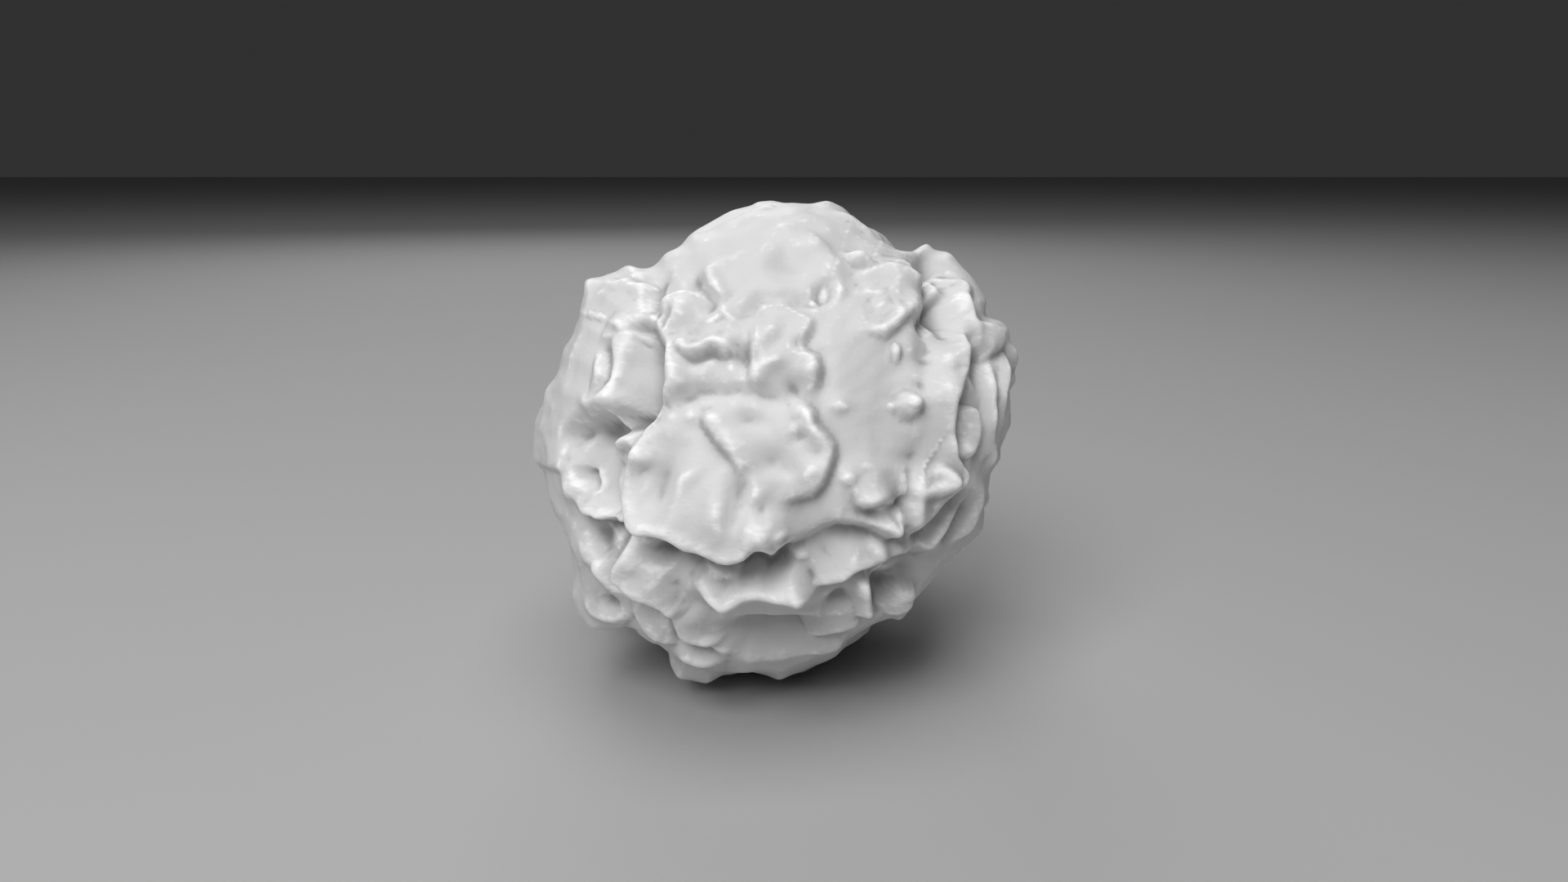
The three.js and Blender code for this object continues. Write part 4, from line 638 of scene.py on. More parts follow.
@dataclass
class Skin:
    """The base form and all that is laid on it."""

    base: BaseForm = field(default_factory=BaseForm)
    chart_pole: float = 260.0
    calm: float = 0.6
    calm_reach: float = 0.08
    smoothest: float = 0.8
    hidden_from: float = -0.26
    hidden_over: float = 0.28
    flat_spot_edge: float = 0.84
    flat_spot_fade: float = 0.09
    few: int = 200
    attempts: int = 14
    bold_attempts: int = 2
    caution: float = 0.6
    features: list[Feature] = field(default_factory=list)
    hidden: list[Feature] = field(default_factory=list)
    smooth_ground: list[Lobe] = field(default_factory=list)

    def lay(self, features: Iterable[Feature]) -> None:
        """Lay features one by one, each on the ground that the ones before it made.

        Args:
            features: What to lay, in order.
        """
        for feature in features:
            feature.settle(self)
            self.features.append(feature)

    def lay_again(self) -> None:
        """Find each feature's place once more, on the ground that all the others make."""
        laid = self.features
        for index, feature in enumerate(laid):
            self.features = laid[:index] + laid[index + 1 :]
            feature.settle(self)
        self.features = laid

    def lay_smooth(self, patches: Iterable[Lobe]) -> None:
        """Mark ground that the melt bowls leave smooth.

        Args:
            patches: Where it is, each with the share that it takes off the bowls.
        """
        for patch in patches:
            patch.settle(self)
            self.smooth_ground.append(patch)

    def lay_hidden(self, features: Iterable[Feature]) -> None:
        """Lay features of the sides, back and underside.

        Args:
            features: What to lay.
        """
        for feature in features:
            feature.settle(self)
            self.hidden.append(feature)

    def rough_share(self, directions: Array) -> Array:
        """Give the share of the melt bowls that is kept: little on smooth ground."""
        calm = sum(patch.relief(directions) for patch in self.smooth_ground)
        return 1.0 - np.clip(calm, 0.0, self.smoothest)

    def relief_share(self, directions: Array) -> Array:
        """Hold the relief back at the waist, where the outline has its lumps already."""
        at_waist = bell(directions[:, 2] - self.base.waist, self.calm_reach)
        return 1.0 - self.calm * at_waist * self.base.off_axis(directions)

    def hidden_share(self, directions: Array) -> Array:
        """Keep the hidden sides' relief off the front, the waist and the flat spot.

        Args:
            directions: Where to keep it, one direction a row.

        Returns:
            The share of it that is kept in each direction.
        """
        behind = 1.0 - smooth((directions[:, 2] - self.hidden_from) / self.hidden_over)
        near_spot = (directions @ UNDERSIDE - self.flat_spot_edge) / self.flat_spot_fade
        return behind * (1.0 - smooth(near_spot))

    def within_reach(self, directions: Array) -> list[Feature]:
        """Pick the features that reach any of a few directions.

        Args:
            directions: Where they may reach, one direction a row.

        Returns:
            The features that reach one of them, or all features where there are many directions.
        """
        if len(directions) > self.few or not self.features:
            return self.features
        reached = (directions @ np.array([f.middle for f in self.features]).T).max(0)
        return [f for f, cosine in zip(self.features, reached) if cosine > f.edge]

    def radius(self, directions: Array) -> Array:
        """Measure the skin from the stone's centre.

        Args:
            directions: Where to measure, one direction a row.

        Returns:
            The distance in each direction, in millimetres.
        """
        radius = self.base.radius(directions)
        share = self.relief_share(directions)
        for feature in self.within_reach(directions):
            radius += feature.relief(directions) * share
        if self.hidden:
            share = self.hidden_share(directions)
            behind = np.flatnonzero(share)
            there = directions[behind]
            relief = sum(feature.relief(there) for feature in self.hidden)
            radius[behind] += relief * share[behind]
        return radius

    def under_chart(self, right: Array | float, up: Array | float, lift: float = 0.0) -> Array:
        """Find the skin under places on the chart, as seen from the pole.

        Args:
            right: Millimetres to the right on the chart.
            up: Millimetres up on the chart.
            lift: How far above the skin as laid so far the place is held.

        Returns:
            The direction of each place from the stone's centre.
        """
        right = np.atleast_1d(np.asarray(right, float))
        up = np.atleast_1d(np.asarray(up, float))
        pole = np.array([0.0, 0.0, self.chart_pole])
        rays = unit(np.stack([right, up, np.full_like(right, -self.chart_pole)], 1))
        closest = pole - rays * (rays @ pole)[:, None]
        miss = np.linalg.norm(closest, axis=1)
        radius = np.full(len(right), MEAN_RADIUS)
        for attempt in range(self.attempts):
            half = np.sqrt(np.maximum(radius**2 - miss**2, 0.0))
            directions = unit(closest - rays * half[:, None])
            found = self.radius(directions) + lift
            kept = 0.0 if attempt < self.bold_attempts else self.caution
            radius = kept * radius + (1.0 - kept) * found
        return directions


# ---- Features of the front, laid out on the chart as (right, up) or (right, up, height) ----


class Front:
    """Everything that is laid on the front of the stone, region by region."""

    def smooth_ground(self) -> list[Lobe]:
        """Mark the patches where the skin is smooth.

        Returns:
            The patches, each with the share that it takes off the melt bowls.
        """
        return [
            Lobe(at=(-34.5, 22), height=1.6, across=7, up=18),  # neck
            Lobe(at=(17, 14), height=1.4, across=13, up=20, turn=-25),  # right of the nose band
            Lobe(at=(-28, -9), height=1.8, across=14, up=18, turn=10),  # left of the face
            Lobe(at=(0, -49), height=1.5, across=26, up=9),  # under the jaw
            Lobe(at=(-41, 35), height=1.8, across=12, up=9),  # slab
            Lobe(at=(-47, 19), height=1.6, across=9, up=20, turn=-20),  # leg
            Lobe(at=(-16, 47), height=1.4, across=17, up=11, turn=30),  # summit
            Lobe(at=(-6, 41), height=1.0, across=12, up=9),  # crown plate
        ]

    def features(self) -> list[Feature]:
        """Gather every region.

        Returns:
            All the features, in the order that they are laid.
        """
        return [
            *self.chin(),
            *self.jaw(),
            *self.left_side(),
            *self.crown(),
            *self.brow(),
            *self.nose(),
            *self.right_side(),
            *self.face(),
            *self.right_back(),
        ]

    def chin(self) -> list[Feature]:
        """Lay the chin line of the central mass, and its right flank above.

        Returns:
            The features, in the order that they are laid.
        """
        return [
            # chin line
            Ledge(
                trail=[
                    (-37.6, 7.5, 1), (-38.4, 3, 2.5), (-39, -2, 3.5), (-40.4, -7.5, 4), (-40.7, -12, 5),
                    (-39.7, -17, 6.5), (-37.8, -21, 8), (-35, -23.2, 9), (-31, -22.8, 9), (-28, -23.3, 9),
                    (-25, -25, 9), (-22.5, -26.6, 9), (-19.5, -27, 9), (-17, -28.2, 9), (-14, -29.6, 9),
                    (-11, -29.5, 9), (-8, -28.6, 9), (-6, -26.8, 8.5), (-4, -26.4, 8), (-1.4, -28.4, 8),
                    (0.4, -26.4, 6.5), (3, -25.4, 4), (6, -24.6, 2.4), (9, -23.4, 1.6), (13, -21.4, 1.8),
                    (17, -20.2, 3.2), (22, -20.2, 5), (26, -21.2, 5.5), (29, -22.8, 6), (31, -24, 6),
                    (32.6, -23.6, 5.5), (34, -21, 3.5), (35.4, -17.6, 2),
                ],
                height=9, run=19, drop=2.8, fade=3, ditch=3,
            ),
            # right flank
            Ledge(
                trail=[
                    (33.4, -24.6, 1), (36.6, -21.6, 3), (39, -18.4, 4), (41.6, -15, 4.6), (44.6, -12, 5),
                    (46.8, -9.8, 5.5), (47.8, -7.4, 5.5), (47, -5.4, 5), (45.6, -3, 5), (44, 0, 5.5),
                    (43.5, 5, 5.5), (44, 10, 5.5), (45.6, 13.4, 5.5), (48, 19, 5.5), (48.8, 23, 5),
                    (48.2, 27, 4.5), (49.4, 31, 3),
                ],
                height=6, run=13, drop=2.4, ditch=2,
            ),
            Lobe(at=(-28.4, -26.8), height=-3.5, across=5, up=3),  # dark corner
        ]

    def jaw(self) -> list[Feature]:
        """Lay the jaw below the chin line, with the fin, the low lobes and the foot.

        Returns:
            The features, in the order that they are laid.
        """
        return [
            # tongue
            Ledge(
                trail=[
                    (-19, -27.6, 0.6), (-17.4, -30, 1.6), (-15, -32.4, 2), (-12.4, -33, 2),
                    (-10, -31.8, 1.4), (-8.6, -29.6, 0.6),
                ],
                height=2, run=6, drop=1.5, fade=1.5, ditch=0.4,
            ),
            # mouth crack
            groove(
                trail=[
                    (-10, -31), (-8, -29.8), (-5, -29), (-3, -29.8), (-2, -31), (0, -30), (1.5, -28),
                    (4, -26.6),
                ],
                depth=2.6, width=1.9, fade=2,
            ),
            # cheek band
            Ledge(
                trail=[
                    (-38.6, -21.6, 2), (-37.8, -25, 4), (-39.4, -28.2, 5), (-41.4, -31.4, 5.5),
                    (-41.2, -34.4, 6), (-38, -37, 6), (-34, -39.6, 6), (-31, -41, 5.5), (-28.6, -43.6, 4),
                    (-26.8, -47, 2),
                ],
                height=6, run=11, drop=1.8, fade=3, ditch=1.4,
            ),
            # jaw edge
            Ledge(
                trail=[
                    (-23.6, -31.6, 2), (-22.4, -33.4, 3.5), (-19.5, -36.4, 5.5), (-17, -39.4, 6.5),
                    (-14, -41.6, 7), (-11.5, -40.2, 6.5), (-9, -38, 6.5), (-5, -37, 6.5), (-1, -37.6, 6.5),
                    (2, -38.6, 6.5), (4.8, -40.2, 6.5), (7, -39.8, 6.5), (8.2, -37.2, 5.5),
                    (9.4, -35.6, 5),
                ],
                height=8, run=8, drop=6, crisp=0.4,
            ),
            # jaw crease
            groove(trail=[(-27.5, -32), (-26, -35.5), (-26.4, -40), (-27, -43)], depth=2.4, width=3),
            # jaw crest
            Ridge(
                trail=[
                    (-22, -33.6), (-19.4, -36), (-16.8, -39), (-14.4, -40.6), (-12, -39.2), (-9.4, -37),
                ],
                height=1.2, width=2.2, sharp=1,
            ),
            Lobe(at=(5.6, -36.4), height=2, across=3, up=4.4),  # jaw corner
            Lobe(at=(-2, -33.4), height=-1.4, across=5, up=3),  # jaw scoop
            # right band
            Ledge(
                trail=[
                    (8.4, -38.6, 2), (8.8, -36.4, 3.4), (12, -35.2, 3.8), (16, -33.8, 4.2),
                    (20, -31.8, 4.4), (23, -30, 4.8), (26, -28.6, 4.8), (30, -27.2, 4.4), (33, -26.6, 3.5),
                    (35.4, -26, 2),
                ],
                height=4.8, run=9, drop=2, ditch=1.6,
            ),
            # band fold
            groove(trail=[(10.6, -33), (15, -31), (19, -28.8)], depth=1.2, width=3, fade=2),
            # band fold above
            groove(trail=[(9, -29), (12, -27), (15, -25)], depth=1, width=3, fade=2),
            Lobe(at=(25.4, -26.4), height=2.6, across=4, up=2.6, turn=-50),  # band lump
            Lobe(at=(5.4, -27), height=1.4, across=2.6, up=1.8),  # lip crumb
            Lobe(at=(0, -48.4), height=-7, across=25, up=8.4),  # under scoop
            Lobe(at=(14.5, -39), height=-2.6, across=6, up=4.6, turn=25),  # lower right scoop
            # lower right edge
            Ledge(
                trail=[
                    (7.6, -50, 2), (10.6, -47.6, 4), (15, -46.3, 4.5), (20, -45.5, 4.5), (22.4, -44.8, 4),
                ],
                height=4.5, run=8, drop=2, fade=3,
            ),
            # lower panel
            Ledge(
                trail=[(8, -53.4, 1), (12, -52.8, 2), (15.4, -51.4, 2.4), (17.6, -48.4, 2)],
                height=2.4, run=5, drop=1.6, fade=2,
            ),
            # fin
            Ledge(
                trail=[
                    (20.4, -45.4, 2.5), (22.6, -44.4, 5), (23.9, -42.7, 5.5), (23.4, -39, 5.5),
                    (23, -35.5, 5), (22.9, -32, 3),
                ],
                height=5.5, run=5, drop=1.8, fade=3, ditch=1.4,
            ),
            # fin crest
            Ridge(trail=[(21.8, -33), (21.4, -37), (22.6, -41.8)], height=1.6, width=2.6, sharp=1),
            # right recess
            Ledge(
                trail=[
                    (37, -25.6, -3), (33, -28.8, -6), (28, -30, -7), (24.6, -33, -7), (24.4, -38, -7),
                    (25, -42.6, -5),
                ],
                height=-7, run=11, drop=1.8, fade=3,
            ),
            Lobe(at=(29.6, -33.6), height=-2, across=7, up=4.6, turn=15),  # back shade
            # back fold one
            Ridge(trail=[(25.6, -35), (30, -33.2), (34.8, -32.6)], height=1.8, width=1.8, sharp=1),
            # back fold two
            Ridge(trail=[(26, -38.4), (30.6, -35.8), (35.8, -35)], height=1.8, width=2, sharp=1),
            # back lump
            Block(
                trail=[
                    (25.6, -39.8, 2), (30.4, -36.8, 3), (34.2, -37.2, 3), (33.6, -40.2, 2.5),
                    (31, -42.8, 2), (27, -41.8, 2),
                ],
                height=3, bevel=1.6,
            ),
            # belly edge
            Ledge(
                trail=[
                    (-28.2, -42.5, 2), (-27.7, -45.8, 3.5), (-24.8, -48.6, 4), (-22, -49.9, 4),
                    (-18, -50.6, 3.5), (-13, -53, 3), (-9, -54.4, 2),
                ],
                height=4, run=9, drop=2,
            ),
            # low left lobe
            Block(
                trail=[
                    (-36, -41, 1.5), (-36, -44.4, 2), (-33.6, -47.8, 2.5), (-30.4, -49.6, 3),
                    (-27.6, -50.2, 3), (-28, -46, 1.6), (-30, -42.8, 1),
                ],
                height=3, bevel=2,
            ),
            # low left crest
            Ridge(trail=[(-34, -45.6), (-30.6, -47.2)], height=1, width=2.4, fade=2),
            Lobe(at=(-19.8, -55), height=3.4, across=7, up=4.2),  # foot
            Lobe(at=(-17.6, -50.6), height=2.2, across=4.4, up=1.8),  # foot hump
        ]

    def left_side(self) -> list[Feature]:
        """Lay the slab, neck, pocket, cheek and ear on the left.

        Returns:
            The features, in the order that they are laid.
        """
        return [
            # left trough
            Ledge(
                trail=[
                    (-40.4, -22.4, -3), (-43, -17.6, -6.5), (-44.4, -12, -8), (-44.2, -8, -8),
                    (-42.6, -2, -8), (-41, 2.6, -8), (-38.6, 5.8, -7.5), (-34.8, 7.4, -7.5),
                    (-31.6, 10, -8.5), (-30.2, 15, -9), (-30.4, 20, -9), (-30.4, 25, -8.5),
                    (-31.6, 29, -4), (-32.2, 31.4, -1),
                ],
                height=-9, run=11.5, drop=2.2, fade=3,
            ),
            # slab
            Block(
                trail=[
                    (-54, 42.6), (-47.4, 41.4), (-42, 41.4), (-36, 40.4), (-31.4, 39.6), (-31, 36),
                    (-31.2, 33), (-34, 31.4), (-37, 29.8), (-38.6, 28.8), (-40, 30), (-42, 31.3),
                    (-45, 32.2), (-55, 34.4),
                ],
                height=1.8, bevel=1.2,
            ),
            # leg
            Block(
                trail=[
                    (-56, 32.8), (-45, 31.4), (-41, 30.2), (-37.6, 29), (-36.4, 27.4), (-36.8, 25),
                    (-38, 22), (-39.2, 18), (-41, 14.5), (-43, 11), (-46, 8), (-49.4, 5), (-51.4, 0),
                    (-54, -6), (-64, -4), (-65, 4), (-63.5, 9), (-60.5, 15), (-57.5, 20), (-56, 27),
                ],
                height=1.4, bevel=1.4,
            ),
            # slab gap
            groove(
                trail=[(-31, 40.4), (-30.6, 37), (-30.8, 33), (-31.2, 29.6)],
                depth=3, width=2.2, fade=2,
            ),
            # slab rim
            Ridge(
                trail=[(-46.4, 40.4), (-43, 40.8), (-38, 40.1), (-34, 39.2), (-31.8, 38.6)],
                height=0.6, width=1.6, sharp=1, fade=2,
            ),
            # neck
            Ridge(
                trail=[
                    (-33.4, 30.2, 2), (-34.8, 27, 3.6), (-34.8, 22, 4.6), (-35.2, 17, 5), (-37.2, 13, 5.4),
                    (-38.8, 10.2, 5.4), (-40, 7.4, 4),
                ],
                height=5.4, width=6, sharp=0.75, fade=2, rounding=2.6,
            ),
            # neck gap
            groove(
                trail=[(-42.2, 27), (-43, 24), (-43, 20), (-43.4, 17), (-45.6, 14), (-48.4, 11)],
                depth=2.8, width=2.2, fade=2,
            ),
            # neck valley
            groove(trail=[(-31.8, 28), (-30.6, 24), (-29.6, 20), (-29.6, 16)], depth=1, width=2.4),
            Lobe(at=(-32.6, 24.6), height=-1.2, across=1.6, up=1.2, turn=-40),  # ear nick
            # lip
            Ledge(
                trail=[
                    (-49.6, 6.8, 2.4), (-47.4, 8.4, 4), (-43, 8.6, 5), (-40, 7.4, 6), (-38, 5.2, 6),
                    (-38.4, 3.6, 4),
                ],
                height=6, run=6, drop=2.2, fade=1.5, ditch=1,
            ),
            Lobe(at=(-44, 3), height=-4, across=6.4, up=5, turn=-15),  # pocket
            Lobe(at=(-50, -11.5), height=3, across=8.5, up=8),  # cheek block
            # pocket slot
            groove(trail=[(-50.4, 6), (-51.2, 2), (-51.4, -2)], depth=3.4, width=2.2, fade=2),
            # pocket floor
            Ridge(
                trail=[(-47, -6, 1.4), (-44.6, -8), (-42.2, -8.8), (-40.6, -8.4, 2)],
                height=2.6, width=4.4, sharp=1, fade=2,
            ),
            Lobe(at=(-48, -8.8), height=-5, across=4.4, up=2.2, turn=-32),  # pocket hole
            # cheek edge
            Ledge(
                trail=[
                    (-55.4, -14, 1), (-54, -17, 2.5), (-51.5, -18.8, 4.5), (-49, -18.7, 6),
                    (-46, -19.2, 7), (-43, -18.9, 7), (-40.6, -20.2, 6.5), (-38.8, -22.2, 5),
                ],
                height=8, run=9, drop=2.6, fade=3, ditch=2.4,
            ),
            # cheek crest
            Ridge(trail=[(-47.6, -15.6), (-45, -17), (-42, -17.4)], height=1.2, width=2.6, sharp=1),
            Lobe(at=(-44.4, -25), height=-3.5, across=5.4, up=5.6),  # cheek recess
            # ear edge
            Ledge(
                trail=[
                    (-38, -39.4, 1), (-41.6, -36.4, 2.4), (-43.9, -33, 3), (-44.9, -30, 3),
                    (-47, -26, 2.6), (-49.6, -21.8, 1.6),
                ],
                height=3, run=5, drop=2, fade=2,
            ),
            Lobe(at=(-41.6, -40.4), height=-2.8, across=3.4, up=4, turn=-35),  # ear dish
            # ear rim
            Ridge(
                trail=[(-49, -38), (-46.6, -42.6), (-42, -44.6), (-38.4, -43)],
                height=1.8, width=2.4, sharp=1,
            ),
            Lobe(at=(-46.4, -31.4), height=1.2, across=1.4, up=2),  # ear knob
            Lobe(at=(-36, 42.6), height=2, across=4, up=2.4),  # behind slab
        ]

    def crown(self) -> list[Feature]:
        """Lay the tilted top plate with its pit, and the summit behind it.

        Returns:
            The features, in the order that they are laid.
        """
        return [
            # crown left
            Ledge(
                trail=[
                    (-13, 46.4, 0.4), (-16, 45.4, 1), (-18.2, 43.6, 1.6), (-17.4, 41.4, 2.2),
                    (-16, 39.4, 2.2), (-14.4, 37.6, 1.4), (-13, 36.2, 0.4),
                ],
                height=2.2, run=6, drop=2.6, fade=1.5, ditch=0.6,
            ),
            # plate crest
            Ridge(
                trail=[
                    (-17, 44, 0.8), (-12, 45.6, 1.4), (-8, 47.2), (-4, 49.4), (-1, 52), (2, 53), (5, 52.6),
                    (8, 50.8), (12, 48.2), (15, 45.4), (19, 43.4),
                ],
                height=1.8, width=7, sharp=1.2,
            ),
            Lobe(at=(-19.6, 40), height=-1.2, across=3.4, up=4, turn=25),  # crown shade
            # crown valley
            groove(
                trail=[
                    (-24, 38.4, 0.7), (-21, 37.6, 1), (-18, 35.8, 1.4), (-14, 33.4, 1.7), (-10, 32, 1.8),
                    (-7, 32.8, 1.8), (-4, 35.4, 1.4), (0, 35.2, 1.2), (5, 34.6, 1), (10, 34.4, 0.7),
                ],
                depth=1.8, width=3,
            ),
            Lobe(at=(12, 38.8), height=-2.8, across=3.4, up=5, turn=-24),  # crown pit
            Lobe(at=(11.4, 36.6), height=1.8, across=1.6, up=2.6, turn=-10),  # pit lump
            Lobe(at=(9, 35.2), height=1.2, across=1.3),  # pit pebble
            # pit rim
            Ridge(trail=[(15.6, 43), (15.4, 38.6), (13.6, 35.2)], height=0.9, width=1.8, sharp=1, fade=2),
            # pit foot
            groove(trail=[(4, 36.4), (8, 34.8), (12, 34.4)], depth=0.8, width=1.6, fade=2),
            Lobe(at=(2, 44), height=-1.2, across=8, up=6, turn=-15),  # plate hollow
            # summit valley
            groove(
                trail=[
                    (-16, 47), (-11, 48.6), (-7, 49.4), (-3, 52.2), (0, 54.6), (3, 54.8), (8, 53),
                    (14, 49.8), (18.6, 45.8),
                ],
                depth=1.2, width=5,
            ),
            # summit ridge
            Ridge(
                trail=[(13.6, 57.6), (17, 56), (20, 54.4), (22.6, 52.2), (24.6, 50.4)],
                height=1.2, width=2, sharp=1, fade=2,
            ),
            Lobe(at=(21.2, 47.4), height=3.6, across=4.4, up=2.6, turn=-12),  # summit lump
            # summit swell
            Ridge(trail=[(-20.5, 50.6), (-18, 51), (-15.6, 50.8)], height=0.8, width=3, sharp=1),
            # crown fold
            groove(
                trail=[(-30.4, 35), (-29.4, 37.6), (-28.4, 40.4), (-28.8, 42.6)],
                depth=1.2, width=1.8, fade=2,
            ),
            Lobe(at=(-3, 58), height=1, across=2.6, up=1.4),  # summit crumb
        ]

    def brow(self) -> list[Feature]:
        """Lay the overhanging brow on the left of the face, with the cave under it.

        Returns:
            The features, in the order that they are laid.
        """
        return [
            # brow
            Ledge(
                trail=[
                    (-26.4, 27.4, 0.6), (-25.4, 25.6, 1.6), (-24, 24, 2.3), (-22.4, 23.4, 2.8),
                    (-20.4, 23.6, 2.8), (-18.6, 24.4, 2.8), (-16.6, 25, 2.8), (-15, 24.6, 2.8),
                    (-13.4, 23.6, 2.7), (-11.4, 23.5, 2), (-9.8, 24.2, 0.8),
                ],
                height=2.8, run=6, drop=1.2, fade=1.5, ditch=0.8,
            ),
            # brow shoulder
            Ledge(
                trail=[
                    (-15.6, 34.4, 0.8), (-18.4, 36, 1.4), (-21, 37.2, 2), (-24, 37.8, 2.4),
                    (-26.6, 36.8, 2.6), (-29, 34.4, 2.6), (-30.6, 31.6, 2.2), (-31.6, 29, 1),
                ],
                height=2.6, run=10, drop=2, fade=2,
            ),
            # brow rim
            Ridge(
                trail=[
                    (-24.8, 29), (-24.6, 26.6), (-23.4, 24.6), (-21.4, 24.1), (-18.4, 25.2), (-16.4, 25.6),
                    (-14.4, 24.8), (-11.6, 24),
                ],
                height=0.9, width=1.5, sharp=1, fade=1.5,
            ),
            # brow peak
            Ridge(trail=[(-25.4, 36.4), (-24, 32.6), (-23.8, 29)], height=1, width=2, sharp=1, fade=2),
            # brow flake
            Ridge(
                trail=[(-29.8, 31.8), (-29.4, 30), (-30.8, 28.4)],
                height=1.2, width=1.4, sharp=1, fade=1,
            ),
            Lobe(at=(-27.6, 32.6), height=-1.4, across=1.8, up=3, turn=-30),  # brow hollow
            # brow crest
            Ledge(
                trail=[
                    (-19, 30.6, 0.4), (-16.4, 30.6, 0.9), (-13.6, 32, 1), (-11, 30.6, 0.9),
                    (-8.6, 30.2, 0.4),
                ],
                height=1, run=3, drop=1.2, fade=1.5,
            ),
            # brow crease
            groove(trail=[(-17.6, 27), (-14.4, 27.6), (-11.2, 28.4)], depth=0.7, width=1.6, fade=2),
            Lobe(at=(-29.4, 30.6), height=-1.6, across=1.6, up=2),  # brow notch
            # temple
            Ledge(
                trail=[
                    (-27.4, 28.4, 1), (-26.6, 24, 2.4), (-27.1, 20, 2.8), (-26.8, 16, 2.8),
                    (-28, 12.6, 2.2), (-29.2, 10.2, 1),
                ],
                height=2.8, run=6, drop=3, fade=2,
            ),
            # temple crest
            Ridge(
                trail=[(-26, 23), (-26.2, 19), (-26, 16), (-27.4, 12.6)],
                height=1, width=1.8, sharp=1, fade=2,
            ),
            # cave shade
            groove(
                trail=[(-20.4, 22), (-18, 22.9), (-15.4, 23.4), (-12.6, 22)],
                depth=0.8, width=1.6, fade=1.5,
            ),
            # cave crest
            Ridge(trail=[(-21.4, 19.4), (-18.6, 18), (-16.2, 17)], height=0.7, width=2.4, sharp=1, fade=2),
            # brow slit
            groove(trail=[(-8.5, 25.6), (-7.5, 21), (-7.4, 16.2)], depth=3, width=3, fade=2),
            # face fold
            groove(
                trail=[
                    (-29.4, 10, 0.6), (-25, 9.8), (-22, 11), (-19.6, 12.6), (-16.6, 13.1), (-13.6, 12.7),
                    (-10, 12.9), (-6, 12.7), (-2, 11.7), (2, 11, 0.7), (6, 10.6, 0.4),
                ],
                depth=1.2, width=2.2,
            ),
        ]

    def nose(self) -> list[Feature]:
        """Lay the lumpy band down the middle of the face.

        Returns:
            The features, in the order that they are laid.
        """
        return [
            # nose right
            Ledge(
                trail=[
                    (5, 12.4, 0.4), (8, 13.8, 1.2), (9.5, 15.8, 1.8), (10, 18.6, 2.1), (9.2, 21.4, 2),
                    (6.8, 22.7, 1.7), (5.5, 24.6, 1.7), (5.9, 26.7, 1.7), (7.5, 29, 1.5), (8, 31.5, 1.1),
                    (4.8, 33.4, 0.9), (1, 34.9, 1.1), (-3.4, 34.6, 0.9), (-5.6, 32.4, 0.4),
                ],
                height=2.1, run=9, drop=1.8, fade=2, ditch=0.4,
            ),
            # nose left
            Ledge(
                trail=[(-5.2, 31, 0.8), (-5.6, 26, 2), (-6, 21, 2.4), (-6, 17, 2.2), (-4.8, 13.6, 0.8)],
                height=2.4, run=5, drop=1.6, fade=2,
            ),
            # nose crest one
            Ridge(trail=[(-3.6, 31.6), (-1.6, 29), (-0.6, 26)], height=1.4, width=2.6, sharp=1, fade=2),
            # nose crest two
            Ridge(trail=[(-2.4, 23.6), (-0.8, 21), (1.6, 19)], height=1.4, width=2.6, sharp=1, fade=2),
            # nose crest three
            Ridge(trail=[(6.6, 21.2), (8.6, 19), (8.4, 16)], height=1.2, width=1.8, sharp=1, fade=1.5),
            # nose dent
            groove(trail=[(3, 25.4), (5, 25.2), (6.4, 27.4)], depth=1.2, width=1.8, fade=1),
            Lobe(at=(4.6, 13.8), height=-1.4, across=4.2, up=3, turn=-25),  # nose foot
            # nose tip
            Ridge(trail=[(9.4, 30.4), (11.6, 29.4)], height=1, width=1.6, fade=1),
        ]

